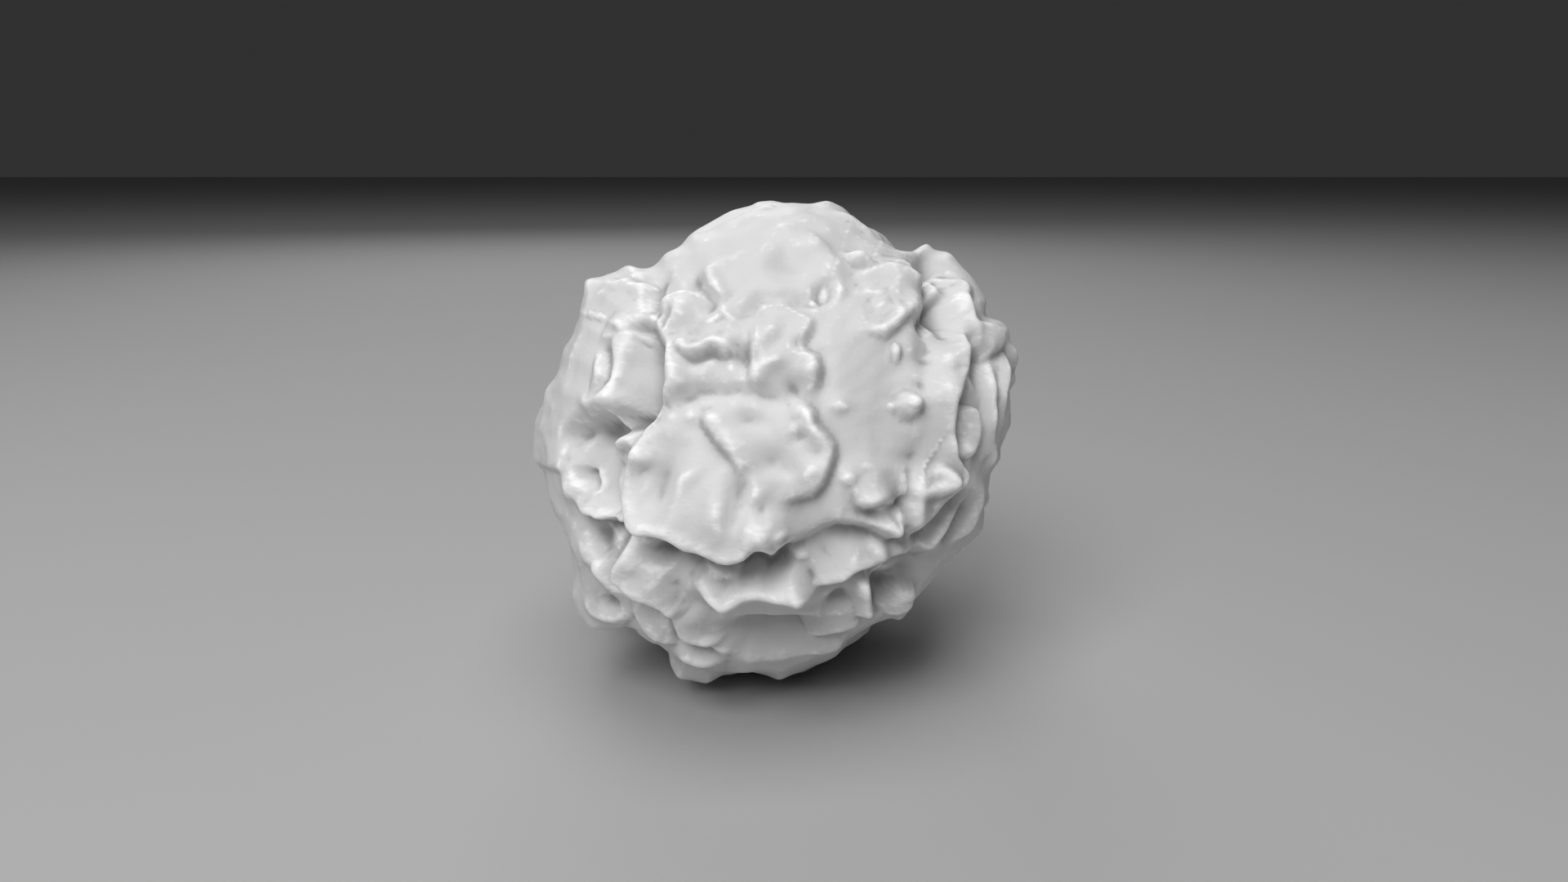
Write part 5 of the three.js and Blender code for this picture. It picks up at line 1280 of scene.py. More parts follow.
    def right_side(self) -> list[Feature]:
        """Lay the shoulder and pillar on the right.

        Returns:
            The features, in the order that they are laid.
        """
        return [
            # right trough
            Ledge(
                trail=[
                    (20, 46.5, -1), (27, 47.6, -2), (34, 47, -3), (38, 43.4, -4), (39.8, 38.6, -4.6),
                    (38, 34.4, -4.6), (37, 28, -3.4), (37.4, 21, -2),
                ],
                height=-4.6, run=11, drop=4.4, fade=4,
            ),
            # shoulder
            Ledge(
                trail=[
                    (33.8, 33, 0.6), (35.4, 33.4, 1.8), (37.2, 35, 3.2), (38, 36.8, 3.6),
                    (36.8, 39.4, 3.3), (35.8, 42.4, 2.8), (33, 44.8, 2.2), (28, 45.6, 1.7),
                    (23, 44.6, 1.2), (19.6, 43, 0.8),
                ],
                height=3.6, run=14, drop=2.2, fade=2, ditch=0.8,
            ),
            # shoulder crease
            groove(trail=[(32, 40), (35, 39.6), (37, 38.6)], depth=0.8, width=2, fade=2),
            # chip
            Ledge(
                trail=[
                    (21.6, 28.6, 0.4), (23.5, 27.6, 0.8), (26.4, 27.2, 1.1), (28.8, 29, 1.2),
                    (30.6, 30.8, 1.2), (32.2, 32.4, 1.2), (33.2, 34, 1), (32, 35.8, 0.4),
                ],
                height=1.2, run=6, drop=1, fade=1.5, ditch=0.2,
            ),
            # chip rim
            Ridge(
                trail=[(23, 28.3), (26.2, 28), (28.6, 29.8), (30.4, 31.6), (32.4, 33.6)],
                height=0.7, width=1.5, sharp=1, fade=1,
            ),
            # chip crest
            Ridge(
                trail=[(20.8, 39.6), (22.4, 38.2), (25, 37.8), (25.8, 35), (26.8, 32)],
                height=0.9, width=1.8, sharp=1, fade=2,
            ),
            Lobe(at=(29.8, 23), height=2.6, across=1.2, up=2.6),  # tear
            # shoulder fold
            groove(trail=[(35.4, 32.6), (34.9, 29.4), (34.8, 26.2)], depth=1, width=1.4, fade=2),
            # pillar valley
            groove(
                trail=[(38.6, 45.4), (38.3, 41), (39, 36), (40.6, 31.4), (43.6, 28), (47, 25.2)],
                depth=4, width=4.4,
            ),
            # pillar crest
            Ridge(
                trail=[
                    (37.4, 44.8), (41, 44.4), (44, 43), (46.6, 40.4), (47.6, 36.6), (48.8, 32.4),
                    (49.6, 28),
                ],
                height=2.8, width=2.6, sharp=1,
            ),
            Lobe(at=(42.6, 41.4), height=-3, across=2.8, up=1.8),  # pillar pit
            # pillar fold
            Ridge(
                trail=[(43, 38.6), (45.6, 37.4), (46.4, 34.4), (47.6, 32.6)],
                height=1.2, width=1.8, sharp=1, fade=2,
            ),
            # pillar facets
            Ridge(trail=[(38.6, 23.4), (42.6, 22), (47.4, 22.6)], height=1.4, width=2.6, sharp=1, fade=2),
            # pillar shade
            groove(trail=[(36.4, 25), (37.2, 20.6), (36.8, 15)], depth=1.8, width=4),
            Lobe(at=(42.6, 15), height=1.6, across=4.4, up=7),  # pillar swell
            Lobe(at=(34.4, 10.6), height=3.8, across=3, up=3.2),  # knob
            # knob crest
            Ridge(
                trail=[(36.6, 12.2), (35.2, 10), (33.8, 8), (32.6, 5.6)],
                height=1.6, width=2.4, sharp=1, fade=1,
            ),
            # knob shade
            groove(trail=[(32.4, 13.8), (35.4, 14.2), (38.6, 12)], depth=1, width=1.6, fade=1.5),
            Lobe(at=(28.6, 9.4), height=0.8, across=1.4, up=1.2),  # knob small
            # cheek bump
            Ridge(trail=[(11, 9), (15.4, 9.8), (20, 8.6)], height=0.8, width=2.6, sharp=1),
            Lobe(at=(15.6, 9.3), height=0.7, across=2.6, up=1.6),  # cheek crumb
        ]

    def face(self) -> list[Feature]:
        """Lay the central plate and the smooth ground round it.

        Returns:
            The features, in the order that they are laid.
        """
        return [
            # plate left
            Ledge(
                trail=[
                    (-18.2, 9, 0.4), (-17.8, 5, 1.7), (-14.8, 1.2, 2.2), (-11.6, -1.9, 2.2),
                    (-9.7, -4.7, 1.8), (-8.6, -8, 0.6),
                ],
                height=2.2, run=8, drop=1.5, fade=2, ditch=0.3,
            ),
            # plate right
            Ledge(
                trail=[
                    (-0.6, -14.2, 0.3), (4, -13.5, 1.2), (8.2, -12.3, 2.2), (10.7, -9.6, 2.8),
                    (11.9, -6.6, 2.8), (13.3, -2.8, 2.8), (13.1, -0.3, 2.8), (9.9, 3.1, 2.7),
                    (8.5, 5, 2.5), (8.3, 7.7, 2.2), (6, 9.4, 1.4), (3, 10.4, 0.5),
                ],
                height=2.8, run=10, drop=1.6, fade=2, ditch=0.5,
            ),
            # plate heel
            Ridge(trail=[(4.6, -5.6), (7.4, -7.4), (9.6, -8.6)], height=1.4, width=3.4, sharp=1, fade=2),
            # plate rim
            Ridge(
                trail=[(3.2, 9.4), (6.4, 8.6), (8, 6.8), (8.4, 4.6), (10.6, 2.2), (13, -0.8)],
                height=1.3, width=1.9, sharp=1, fade=1.5,
            ),
            # plate notch
            groove(trail=[(2.4, -0.6), (5.4, 2), (8.4, 3)], depth=1.2, width=1.8, fade=2),
            # plate notch crest
            Ridge(trail=[(1.6, 0.8), (4.4, 3.4), (7.4, 4.8)], height=0.8, width=1.6, sharp=1, fade=1.5),
            # plate corner
            Ridge(trail=[(-17.4, 9), (-16.6, 6.4), (-14.4, 3.4)], height=1.2, width=2.2, sharp=1, fade=2),
            Lobe(at=(-1, -4.6), height=-1.2, across=6, up=4, turn=-20),  # plate dip
            Lobe(at=(-7, 5.6), height=-0.8, across=5, up=2.6),  # plate dip upper
            # cheekbone
            Ridge(trail=[(-29, 9.4), (-26, 7), (-22.6, 4)], height=1.4, width=4, sharp=1),
            # cheekbone right
            Ridge(trail=[(-22.6, 9.8), (-21.4, 7), (-19.6, 4.4)], height=0.8, width=2, sharp=1, fade=2),
            # corner crest
            Ridge(
                trail=[(-37.8, 3), (-36, 0), (-34.4, -4), (-33.4, -6.6)],
                height=2.2, width=2.8, sharp=1, fade=2,
            ),
            # corner shade
            groove(trail=[(-39.4, -0.6), (-39.8, -5), (-40.2, -10)], depth=2, width=2.4),
            Lobe(at=(-29.4, -13), height=-2, across=4.4, up=9, turn=-12),  # face valley
            # belly crest
            Ridge(trail=[(-25.6, -3), (-23, -8), (-21.4, -12)], height=1.4, width=6, sharp=1),
            Lobe(at=(-10, -15), height=-1.8, across=3.6, up=8, turn=-8),  # face hollow
            Lobe(at=(-15, -17), height=1.6, across=5, up=8),  # face swell
            # lip
            Ridge(
                trail=[(-9, -21.6), (-4.6, -22.8), (0, -22.6), (2.8, -22.4)],
                height=1.8, width=3.2, sharp=1,
            ),
            Lobe(at=(1.2, -22.8), height=1.6, across=2, up=1.4),  # lip crumb
            # lip groove
            groove(trail=[(-8, -15.6), (-4, -16.6), (-0.6, -16)], depth=1.2, width=2, fade=2),
            Lobe(at=(17.2, -8.4), height=1.6, across=2.2, up=1.8),  # face bead
            # small plate
            Ledge(
                trail=[
                    (18.2, -9.6, 0.4), (19.7, -12.8, 1.1), (20.2, -14.6, 1.7), (22, -15.8, 1.8),
                    (24.1, -15.6, 1.8), (26.4, -14.3, 1.8), (28.8, -14.5, 1.8), (30.6, -12.4, 1.7),
                    (31.3, -9, 1.2), (31.5, -5, 0.6),
                ],
                height=1.8, run=13, drop=1.1, fade=2, ditch=0.8,
            ),
            # small plate rim
            Ridge(
                trail=[(20.2, -13.4), (22.4, -14.2), (25.4, -14), (28.8, -12.8)],
                height=1, width=1.5, sharp=1, fade=1,
            ),
            # drip
            Ridge(
                trail=[(35, -7, 1), (35.5, -11, 3), (35, -15, 4), (33.6, -19.4, 4.4), (31.8, -22.6, 4)],
                height=4.4, width=3.4, sharp=1, fade=2,
            ),
            Lobe(at=(23.4, -18.2), height=-2.4, across=7, up=2.6, turn=-10),  # drip shade
            Lobe(at=(31.4, -16), height=-2, across=1.8, up=5, turn=15),  # drip hollow
            # spur
            Block(
                trail=[
                    (35.6, -12.6, 1.6), (40, -12.3, 3.4), (44, -10.8, 4), (44.8, -9.4, 4),
                    (43.4, -7.6, 2.8), (41, -6.4, 1.6), (37.6, -8.2, 0.8),
                ],
                height=3, bevel=1.8,
            ),
            # spur crest
            Ridge(trail=[(42.4, -1), (45.4, -4.4), (48.2, -7.2)], height=2.8, width=3, sharp=1, fade=2),
            # right hollow
            groove(trail=[(33, 2), (33.6, -3), (36, -5.6)], depth=1.6, width=4),
        ]

    def right_back(self) -> list[Feature]:
        """Lay the ribs and strips behind the right flank.

        Returns:
            The features, in the order that they are laid.
        """
        return [
            # tooth
            Block(
                trail=[
                    (44.8, 8.6, 3), (47, 9, 3), (50, 8.5, 3), (50.2, 5, 3), (49.4, 1, 3), (48.4, -1.4, 3),
                    (47, -2.8, 3), (45.8, -2.2, 3), (45, 0.6, 3), (44.3, 4, 3),
                ],
                height=3, bevel=1.2,
            ),
            # back corner
            Block(
                trail=[
                    (50.6, 30.4, 1.6), (53, 30, 2.4), (56.2, 28.2, 2.4), (55.8, 25, 2.4), (52.6, 22.6, 2),
                    (50.6, 25.6, 1.6),
                ],
                height=2.4, bevel=1.6,
            ),
            # back gap
            groove(trail=[(50.2, 26.4), (51.4, 22), (50.8, 17), (51.4, 12)], depth=2.6, width=1.9),
            # back rib one
            Ridge(
                trail=[(53.4, 21), (52.8, 16), (53.4, 10), (53.2, 4), (53.8, -3)],
                height=2.4, width=2.4, sharp=1,
            ),
            # back rib two
            Ridge(trail=[(56.6, 24), (56.8, 19), (55.6, 12), (56, 6)], height=1.8, width=2, sharp=1),
            # back strip one
            Ridge(
                trail=[
                    (46.2, -12.6, 2), (43.8, -17, 3.4), (40.8, -22, 3.8), (38.6, -26, 3.4),
                    (36.8, -28.8, 2),
                ],
                height=3.8, width=2.8, sharp=1, fade=2,
            ),
            # back strip gap
            groove(
                trail=[(47.6, -12), (46.2, -16.6), (43.6, -22), (41, -25.8)],
                depth=2.6, width=1.8, fade=2,
            ),
            # back strip two
            Ridge(trail=[(51, -9), (50.4, -16), (47.8, -22), (43.4, -26)], height=2.6, width=3.2, sharp=1),
            Lobe(at=(53.2, -4), height=1.6, across=2.4, up=4),  # back lobe
        ]


# ---- Features of the sides, back and underside, laid by seeded walks ----


@dataclass
class HiddenSides:
    """Ledges, lobes, ridges, grooves, nubs and pits over the sides that the front doesn't show."""

    random: RandomSource = field(default_factory=lambda: RandomSource(2026))
    ledge_count: int = 34
    ledge_corners: Place = (8.0, 14.0)
    ledge_step: float = 4.5
    ledge_wobble: float = 0.36
    ledge_height: Place = (2.4, 5.0)
    ledge_unevenness: Place = (0.7, 1.1)
    ledge_run: Place = (9.0, 16.0)
    ledge_drop: Place = (2.4, 4.2)
    ledge_ditch: Place = (0.0, 1.2)
    ledge_fade: float = 7.0
    ridge_count: int = 18
    groove_count: int = 14
    groove_rounding: float = 0.8
    course_corners: Place = (4.0, 8.0)
    course_step: float = 4.0
    course_wobble: float = 0.4
    course_fade: float = 5.0
    frontmost: float = 0.1
    steadiness: float = 0.7
    clear_of_flat_spot: float = 0.93

    def start(self, frontmost: float) -> Array:
        """Pick a place on the hidden part of the stone, clear of the flat spot.

        Args:
            frontmost: How far towards the front it may lie.

        Returns:
            The place, as a direction from the stone's centre.
        """
        while True:
            z = self.random.draw(-1.0, frontmost)
            angle = self.random.draw(0.0, 2.0 * math.pi)
            ring = math.sqrt(1.0 - z * z)
            direction = np.array([ring * math.cos(angle), ring * math.sin(angle), z])
            if direction @ UNDERSIDE < self.clear_of_flat_spot:
                return direction

    def wander(self, count: int, step: float, wobble: float) -> list[Array]:
        """Walk a wandering course of corners over the skin.

        Args:
            count: How many corners it has.
            step: The usual distance between two of them, in millimetres.
            wobble: How far it may turn at each, in radians.

        Returns:
            The corners, as directions from the stone's centre.
        """
        draw = self.random.draw
        place = self.start(self.frontmost)
        heading = unit(np.cross(place, [draw(-1.0, 1.0), draw(-1.0, 1.0), draw(-1.0, 1.0)]))
        corners = [place]
        turn = draw(-1.0, 1.0) * wobble
        while len(corners) < count:
            turn = self.steadiness * turn + draw(-1.0, 1.0) * wobble
            heading = heading * math.cos(turn) + np.cross(place, heading) * math.sin(turn)
            place = unit(place + heading * step * draw(0.7, 1.3) / MEAN_RADIUS)
            heading = unit(heading - place * (place @ heading))
            corners.append(place)
        return corners

    def course(self, corners: list[Array], height: Callable[[], float]) -> Trail:
        """Give each corner of a walk its height."""
        return [(*corner, height()) for corner in corners]

    def ledges(self) -> list[Feature]:
        """Make the ledges.

        Returns:
            The ledges.
        """
        draw = self.random.draw
        made: list[Feature] = []
        for _ in range(self.ledge_count):
            count = int(draw(*self.ledge_corners))
            corners = self.wander(count, self.ledge_step, self.ledge_wobble)
            height = draw(*self.ledge_height)
            ledge = Ledge(
                trail=self.course(corners, lambda: height * draw(*self.ledge_unevenness)),
                height=height,
                run=draw(*self.ledge_run),
                drop=draw(*self.ledge_drop),
                ditch=draw(*self.ledge_ditch),
                fade=self.ledge_fade,
            )
            made.append(ledge)
        return made

    def lobes(
        self, count: int, across: Place, flatness: Place, heights: Place, frontmost: float
    ) -> list[Feature]:
        """Make oval swells and scoops.

        Args:
            count: How many there are.
            across: Least and most half-width, in millimetres.
            flatness: Least and most share of the half-width that the other axis has.
            heights: Lowest and highest height; a scoop's is below zero.
            frontmost: How far towards the front their centres may lie.

        Returns:
            The swells and scoops.
        """
        draw = self.random.draw
        made: list[Feature] = []
        for _ in range(count):
            wide = draw(*across)
            up = wide * draw(*flatness)
            height = draw(*heights)
            turn = draw(0.0, 180.0)
            centre = self.start(frontmost)
            made.append(Lobe(direction=centre, height=height, across=wide, up=up, turn=turn))
        return made

    def ridges(
        self, count: int, heights: Place, widths: Place, sign: float, **shape: float
    ) -> list[Feature]:
        """Make short crests or valleys.

        Args:
            count: How many there are.
            heights: Least and most height.
            widths: Least and most half-width, in millimetres.
            sign: One for crests, minus one for valleys.
            shape: How sharp or how rounded they are.

        Returns:
            The crests or valleys.
        """
        draw = self.random.draw
        made: list[Feature] = []
        for _ in range(count):
            corner_count = int(draw(*self.course_corners))
            corners = self.wander(corner_count, self.course_step, self.course_wobble)
            height = sign * draw(*heights)
            trail = self.course(corners, lambda: height)
            width = draw(*widths)
            made.append(Ridge(trail=trail, height=height, width=width, fade=self.course_fade, **shape))
        return made

    def features(self) -> list[Feature]:
        """Make everything, each kind in turn.

        Returns:
            All the features, in the order that they are laid.
        """
        return [
            *self.ledges(),
            *self.lobes(16, (6.0, 15.0), (0.6, 1.0), (-3.2, 3.6), 0.0),
            *self.ridges(self.ridge_count, (1.2, 2.6), (2.4, 4.6), 1.0, sharp=1.0),
            *self.ridges(self.groove_count, (1.4, 3.0), (2.8, 5.0), -1.0, rounding=self.groove_rounding),
            *self.lobes(16, (1.8, 4.0), (0.7, 1.2), (1.6, 3.8), 0.05),
            *self.lobes(8, (2.4, 4.4), (0.7, 1.2), (-4.0, -2.0), 0.05),
        ]


# ---- Skin mesh ----


@dataclass
class EvenMesh:
    """An even ball of triangles, drawn out to a skin."""

    divisions: int = 99
    rounds: int = 6
    pull: float = 0.6
    neighbours_apart: float = 1.1
    same_place_digits: int = 7

    def ball(self) -> tuple[Array, Array]:
        """Split the twenty faces of an icosahedron evenly.

        Returns:
            Directions of the corners, and the three corners of each triangle.
        """
        golden = (1.0 + math.sqrt(5.0)) / 2.0
        signs = [(-1.0, 1.0), (1.0, 1.0), (-1.0, -1.0), (1.0, -1.0)]
        corners = [(s, t * golden, 0.0) for s, t in signs]
        corners += [(0.0, s, t * golden) for s, t in signs]
        corners += [(t * golden, 0.0, s) for s, t in signs]
        solid = unit(np.array(corners))
        apart = np.linalg.norm(solid[:, None] - solid[None], axis=2)
        near = apart < self.neighbours_apart
        triples = [
            (a, b, c)
            for a in range(len(solid))
            for b in range(a + 1, len(solid))
            for c in range(b + 1, len(solid))
            if near[a, b] and near[b, c] and near[a, c]
        ]
        n = self.divisions
        steps = [(i, j) for i in range(n + 1) for j in range(n + 1 - i)]
        number = {step: k for k, step in enumerate(steps)}
        weights = np.array([(n - i - j, i, j) for i, j in steps], float) / n
        up = [(number[i, j], number[i + 1, j], number[i, j + 1]) for i in range(n) for j in range(n - i)]
        down = [
            (number[i + 1, j], number[i + 1, j + 1], number[i, j + 1])
            for i in range(n)
            for j in range(n - i - 1)
        ]
        grid = np.array(up + down)
        points = []
        triangles = []
        for face, (a, b, c) in enumerate(triples):
            outward = np.cross(solid[b] - solid[a], solid[c] - solid[a]) @ solid[a]
            ordered = (a, b, c) if outward > 0.0 else (a, c, b)
            points.append(weights @ solid[list(ordered)])
            triangles.append(grid + face * len(steps))
        all_points = unit(np.concatenate(points))
        _, first, same = np.unique(
            np.round(all_points, self.same_place_digits),
            axis=0,
            return_index=True,
            return_inverse=True,
        )
        return all_points[first], same.reshape(-1)[np.concatenate(triangles)]

    def drawn(self, skin: Skin) -> tuple[Array, Array]:
        """Draw the ball out to the skin, with an even share of corners on steep ground.

        Args:
            skin: What to draw it to.

        Returns:
            Corners in millimetres on the chart's axes, and the three corners of each triangle.
        """
        directions, triangles = self.ball()
        starts = triangles.reshape(-1)
        ends = np.roll(triangles, -1, 1).reshape(-1)
        around = np.bincount(starts, minlength=len(directions))[:, None]
        for _ in range(self.rounds):
            points = directions * skin.radius(directions)[:, None]
            sums = [np.bincount(starts, points[ends, axis], len(points)) for axis in range(3)]
            directions = unit(points + self.pull * (np.stack(sums, 1) / around - points))
        return directions * skin.radius(directions)[:, None], triangles


# ---- Finishes ----


@dataclass
class Nodes:
    """A short way to place and join shader nodes in one tree."""

    tree: bpy.types.NodeTree

    def add(self, kind: str, **values: object) -> bpy.types.Node:
        """Place a node.

        Args:
            kind: The node's type, such as ShaderNodeMath.
            values: Its own settings by name; a value for an input socket is given as in_NAME, with
                an underscore for each space of the socket's name.

        Returns:
            The node.
        """
        node = self.tree.nodes.new(kind)
        for name, value in values.items():
            if name.startswith("in_"):
                node.inputs[name[3:].replace("_", " ")].default_value = value
            else:
                setattr(node, name, value)
        return node

    def join(self, source: bpy.types.NodeSocket, target: bpy.types.NodeSocket) -> None:
        """Join an output to an input."""
        self.tree.links.new(source, target)

    def maths(self, operation: str, *terms: bpy.types.NodeSocket | float) -> bpy.types.NodeSocket:
        """Work out a sum of values.

        Args:
            operation: The name of the operation, such as MULTIPLY.
            terms: What it works on, in order: sockets or plain numbers.

        Returns:
            The result's socket.
        """
        node = self.tree.nodes.new("ShaderNodeMath")
        node.operation = operation
        for socket, term in zip(node.inputs, terms):
            if isinstance(term, (int, float)):
                socket.default_value = term
            else:
                self.join(term, socket)
        return node.outputs[0]

    def ramp(
        self, source: bpy.types.NodeSocket, low: float, high: float, to: Place = (0.0, 1.0)
    ) -> bpy.types.NodeSocket:
        """Spread a value smoothly between two levels.

        Args:
            source: The value.
            low: Where it starts to rise.
            high: Where it has risen.
            to: What it gives at the two ends.

        Returns:
            The result's socket.
        """
        node = self.tree.nodes.new("ShaderNodeMapRange")
        node.interpolation_type = "SMOOTHSTEP"
        self.join(source, node.inputs["Value"])
        node.inputs["From Min"].default_value = low
        node.inputs["From Max"].default_value = high
        node.inputs["To Min"].default_value = to[0]
        node.inputs["To Max"].default_value = to[1]
        return node.outputs["Result"]

    def blend(
        self,
        share: bpy.types.NodeSocket,
        first: bpy.types.NodeSocket | Colour,
        second: bpy.types.NodeSocket | Colour,
        how: str = "MIX",
    ) -> bpy.types.NodeSocket:
        """Blend two colours.

        Args:
            share: How much of the second colour there is.
            first: The first colour, or its socket.
            second: The second colour, or its socket.
            how: The way they are blended.

        Returns:
            The result's socket.
        """
        node = self.tree.nodes.new("ShaderNodeMix")
        node.data_type = "RGBA"
        node.blend_type = how
        self.join(share, node.inputs[0])
        for socket, colour in ((node.inputs[6], first), (node.inputs[7], second)):
            if isinstance(colour, tuple):
                socket.default_value = (*colour, 1.0)
            else:
                self.join(colour, socket)
        return node.outputs[2]


def new_group(name: str, inputs: dict[str, float], outputs: dict[str, str]) -> bpy.types.NodeTree:
    """Start a shader node group.

    Args:
        name: What it is called.
        inputs: Its value inputs, with the value each starts from.
        outputs: Its outputs, with the kind of socket each is.

    Returns:
        The group, with its input and output nodes placed.
    """
    group = bpy.data.node_groups.new(name, "ShaderNodeTree")
    for label, value in inputs.items():
        socket = group.interface.new_socket(label, in_out="INPUT", socket_type="NodeSocketFloat")
        socket.default_value = value
    for label, kind in outputs.items():
        group.interface.new_socket(label, in_out="OUTPUT", socket_type=kind)
    group.nodes.new("NodeGroupInput")
    group.nodes.new("NodeGroupOutput")
    return group


class Effect(Enum):
    """Shader node groups that finishes share."""

    GRAIN = "grain"
    MOTTLE = "mottle"


def grain_group() -> bpy.types.NodeTree:
    """Build fine surface unevenness.

    Returns:
        A group with Coarse and Fine noise scales, which gives a Height and a Speckle.
    """
    group = new_group(
        Effect.GRAIN.value,
        {"Coarse": 400.0, "Fine": 1500.0, "Fine Share": 0.35},
        {"Height": "NodeSocketFloat", "Speckle": "NodeSocketFloat"},
    )
    make = Nodes(group)
    given = group.nodes["Group Input"]
    place = make.add("ShaderNodeTexCoord")
    coarse = make.add("ShaderNodeTexNoise", in_Detail=3.0, in_Roughness=0.55)
    fine = make.add("ShaderNodeTexNoise", in_Detail=4.0, in_Roughness=0.6)
    for noise, scale in ((coarse, "Coarse"), (fine, "Fine")):
        make.join(place.outputs["Object"], noise.inputs["Vector"])
        make.join(given.outputs[scale], noise.inputs["Scale"])
    fine_part = make.maths("MULTIPLY", fine.outputs["Fac"], given.outputs["Fine Share"])
    height = make.maths("ADD", coarse.outputs["Fac"], fine_part)
    result = group.nodes["Group Output"]
    make.join(height, result.inputs["Height"])
    make.join(fine.outputs["Fac"], result.inputs["Speckle"])
    return group


def mottle_group() -> bpy.types.NodeTree:
    """Build soft cloudy patches.

    Returns:
        A group with a Scale and a Squash, which flattens the patches, and gives a Patch value around
        one half.
    """
    group = new_group(
        Effect.MOTTLE.value, {"Scale": 45.0, "Squash": 1.0}, {"Patch": "NodeSocketFloat"}
    )
    make = Nodes(group)
    given = group.nodes["Group Input"]
    place = make.add("ShaderNodeTexCoord")
    stretch = make.add("ShaderNodeCombineXYZ", in_X=1.0, in_Y=1.0)
    make.join(given.outputs["Squash"], stretch.inputs["Z"])
    squashed = make.add("ShaderNodeVectorMath", operation="MULTIPLY")
    make.join(place.outputs["Object"], squashed.inputs[0])
    make.join(stretch.outputs["Vector"], squashed.inputs[1])
    noise = make.add("ShaderNodeTexNoise", in_Detail=4.0, in_Roughness=0.55, in_Distortion=0.6)
    make.join(squashed.outputs["Vector"], noise.inputs["Vector"])
    make.join(given.outputs["Scale"], noise.inputs["Scale"])
    make.join(noise.outputs["Fac"], group.nodes["Group Output"].inputs["Patch"])
    return group


@dataclass(frozen=True)
class Effects:
    """The shader node groups, built once."""

    groups: dict[Effect, bpy.types.NodeTree]

    @classmethod
    def built(cls) -> "Effects":
        """Build every group."""
        return cls({Effect.GRAIN: grain_group(), Effect.MOTTLE: mottle_group()})

    def place(self, make: Nodes, effect: Effect, **values: float) -> bpy.types.Node:
        """Place a group in a material.

        Args:
            make: The material's nodes.
            effect: Which group.
            values: Its inputs by name, with an underscore for each space.

        Returns:
            The group's node.
        """
        node = make.tree.nodes.new("ShaderNodeGroup")
        node.node_tree = self.groups[effect]
        for name, value in values.items():
            node.inputs[name.replace("_", " ")].default_value = value
        return node


@dataclass(frozen=True)
class PaleIce:
    """White ice, satin: painted highlights and streaks on crests, painted shade in hollows."""

    body: Colour = (0.70, 0.70, 0.70)
    # painted highlight on crests and proud ground; also the paler tone of the random cloudy patches
    crest: Colour = (0.88, 0.88, 0.88)
    # painted shade, darker in hollows, creases and recesses
    hollow: Colour = (0.34, 0.34, 0.34)
    # painted highlight streaks along crests
    highlight_streak: Colour = (1.0, 1.0, 1.0)
    roughness: float = 0.42
    crest_gloss: float = 0.1
    speckle: float = 0.04
    index: float = 1.31
    grain_height: float = 0.00012
    coarse_grain: float = 420.0
    fine_grain: float = 1600.0
    fine_share: float = 0.3
    cloud_scale: float = 45.0
    cloud_share: float = 0.10
    streak_scale: float = 230.0
    streak_squash: float = 2.6
    streak_share: float = 0.9

    def material(self, effects: Effects) -> bpy.types.Material:
        """Build the material.

        Args:
            effects: The shared shader node groups.

        Returns:
            The material.
        """
        material = bpy.data.materials.new("pale_ice")
        material.use_nodes = True
        make = Nodes(material.node_tree)
        shader = material.node_tree.nodes["Principled BSDF"]
        # mask from the skin's shape: where highlight is painted on crests
        crest = make.add("ShaderNodeAttribute", attribute_name="crest").outputs["Fac"]
        # mask from the skin's shape: where shade is painted into hollows
        hollow = make.add("ShaderNodeAttribute", attribute_name="hollow").outputs["Fac"]
        mottle = effects.place(make, Effect.MOTTLE, Scale=self.cloud_scale).outputs["Patch"]
        grain = effects.place(
            make, Effect.GRAIN, Coarse=self.coarse_grain, Fine=self.fine_grain, Fine_Share=self.fine_share
        )

        # painted shade: hollows made darker in the base colour
        tone = make.blend(hollow, self.body, self.hollow)
        # painted highlight: crests made lighter in the base colour
        tone = make.blend(crest, tone, self.crest)
        # random paler cloudy patches, mixed towards the same pale colour as the painted crest highlight
        cloud = make.ramp(mottle, 0.3, 0.7, (0.0, self.cloud_share))
        tone = make.blend(cloud, tone, self.crest)
        # painted highlight streaks: stretched noise, kept to the crests
        streak_noise = effects.place(
            make, Effect.MOTTLE, Scale=self.streak_scale, Squash=self.streak_squash
        )
        highlight_streak = make.maths("MULTIPLY", make.ramp(streak_noise.outputs["Patch"], 0.46, 0.56), crest)
        tone = make.blend(make.maths("MULTIPLY", highlight_streak, self.streak_share), tone, self.highlight_streak)
        make.join(tone, shader.inputs["Base Color"])

        gloss = make.ramp(crest, 0.0, 1.0, (self.roughness, self.roughness - self.crest_gloss))
        speckle = make.ramp(grain.outputs["Speckle"], 0.3, 0.7, (-self.speckle, self.speckle))
        make.join(make.maths("ADD", gloss, speckle), shader.inputs["Roughness"])

        bump = make.add("ShaderNodeBump", in_Strength=1.0, in_Distance=self.grain_height)
        make.join(grain.outputs["Height"], bump.inputs["Height"])
        make.join(bump.outputs["Normal"], shader.inputs["Normal"])
        shader.inputs["IOR"].default_value = self.index
        return material


@dataclass(frozen=True)
class StudioFloor:
    """Plain pale matt floor."""

    tone: Colour = (0.42, 0.42, 0.42)
    paler: float = 1.04
    patch_scale: float = 3.0
    roughness: float = 0.85

    def material(self, effects: Effects) -> bpy.types.Material:
        """Build the material.

        Args:
            effects: The shared shader node groups.

        Returns:
            The material.
        """
        material = bpy.data.materials.new("studio_floor")
        material.use_nodes = True
        make = Nodes(material.node_tree)
        shader = material.node_tree.nodes["Principled BSDF"]
        patch = effects.place(make, Effect.MOTTLE, Scale=self.patch_scale).outputs["Patch"]
        paler = tuple(share * self.paler for share in self.tone)
        make.join(make.blend(patch, self.tone, paler), shader.inputs["Base Color"])
        shader.inputs["Roughness"].default_value = self.roughness
        return material


# ---- The stone ----


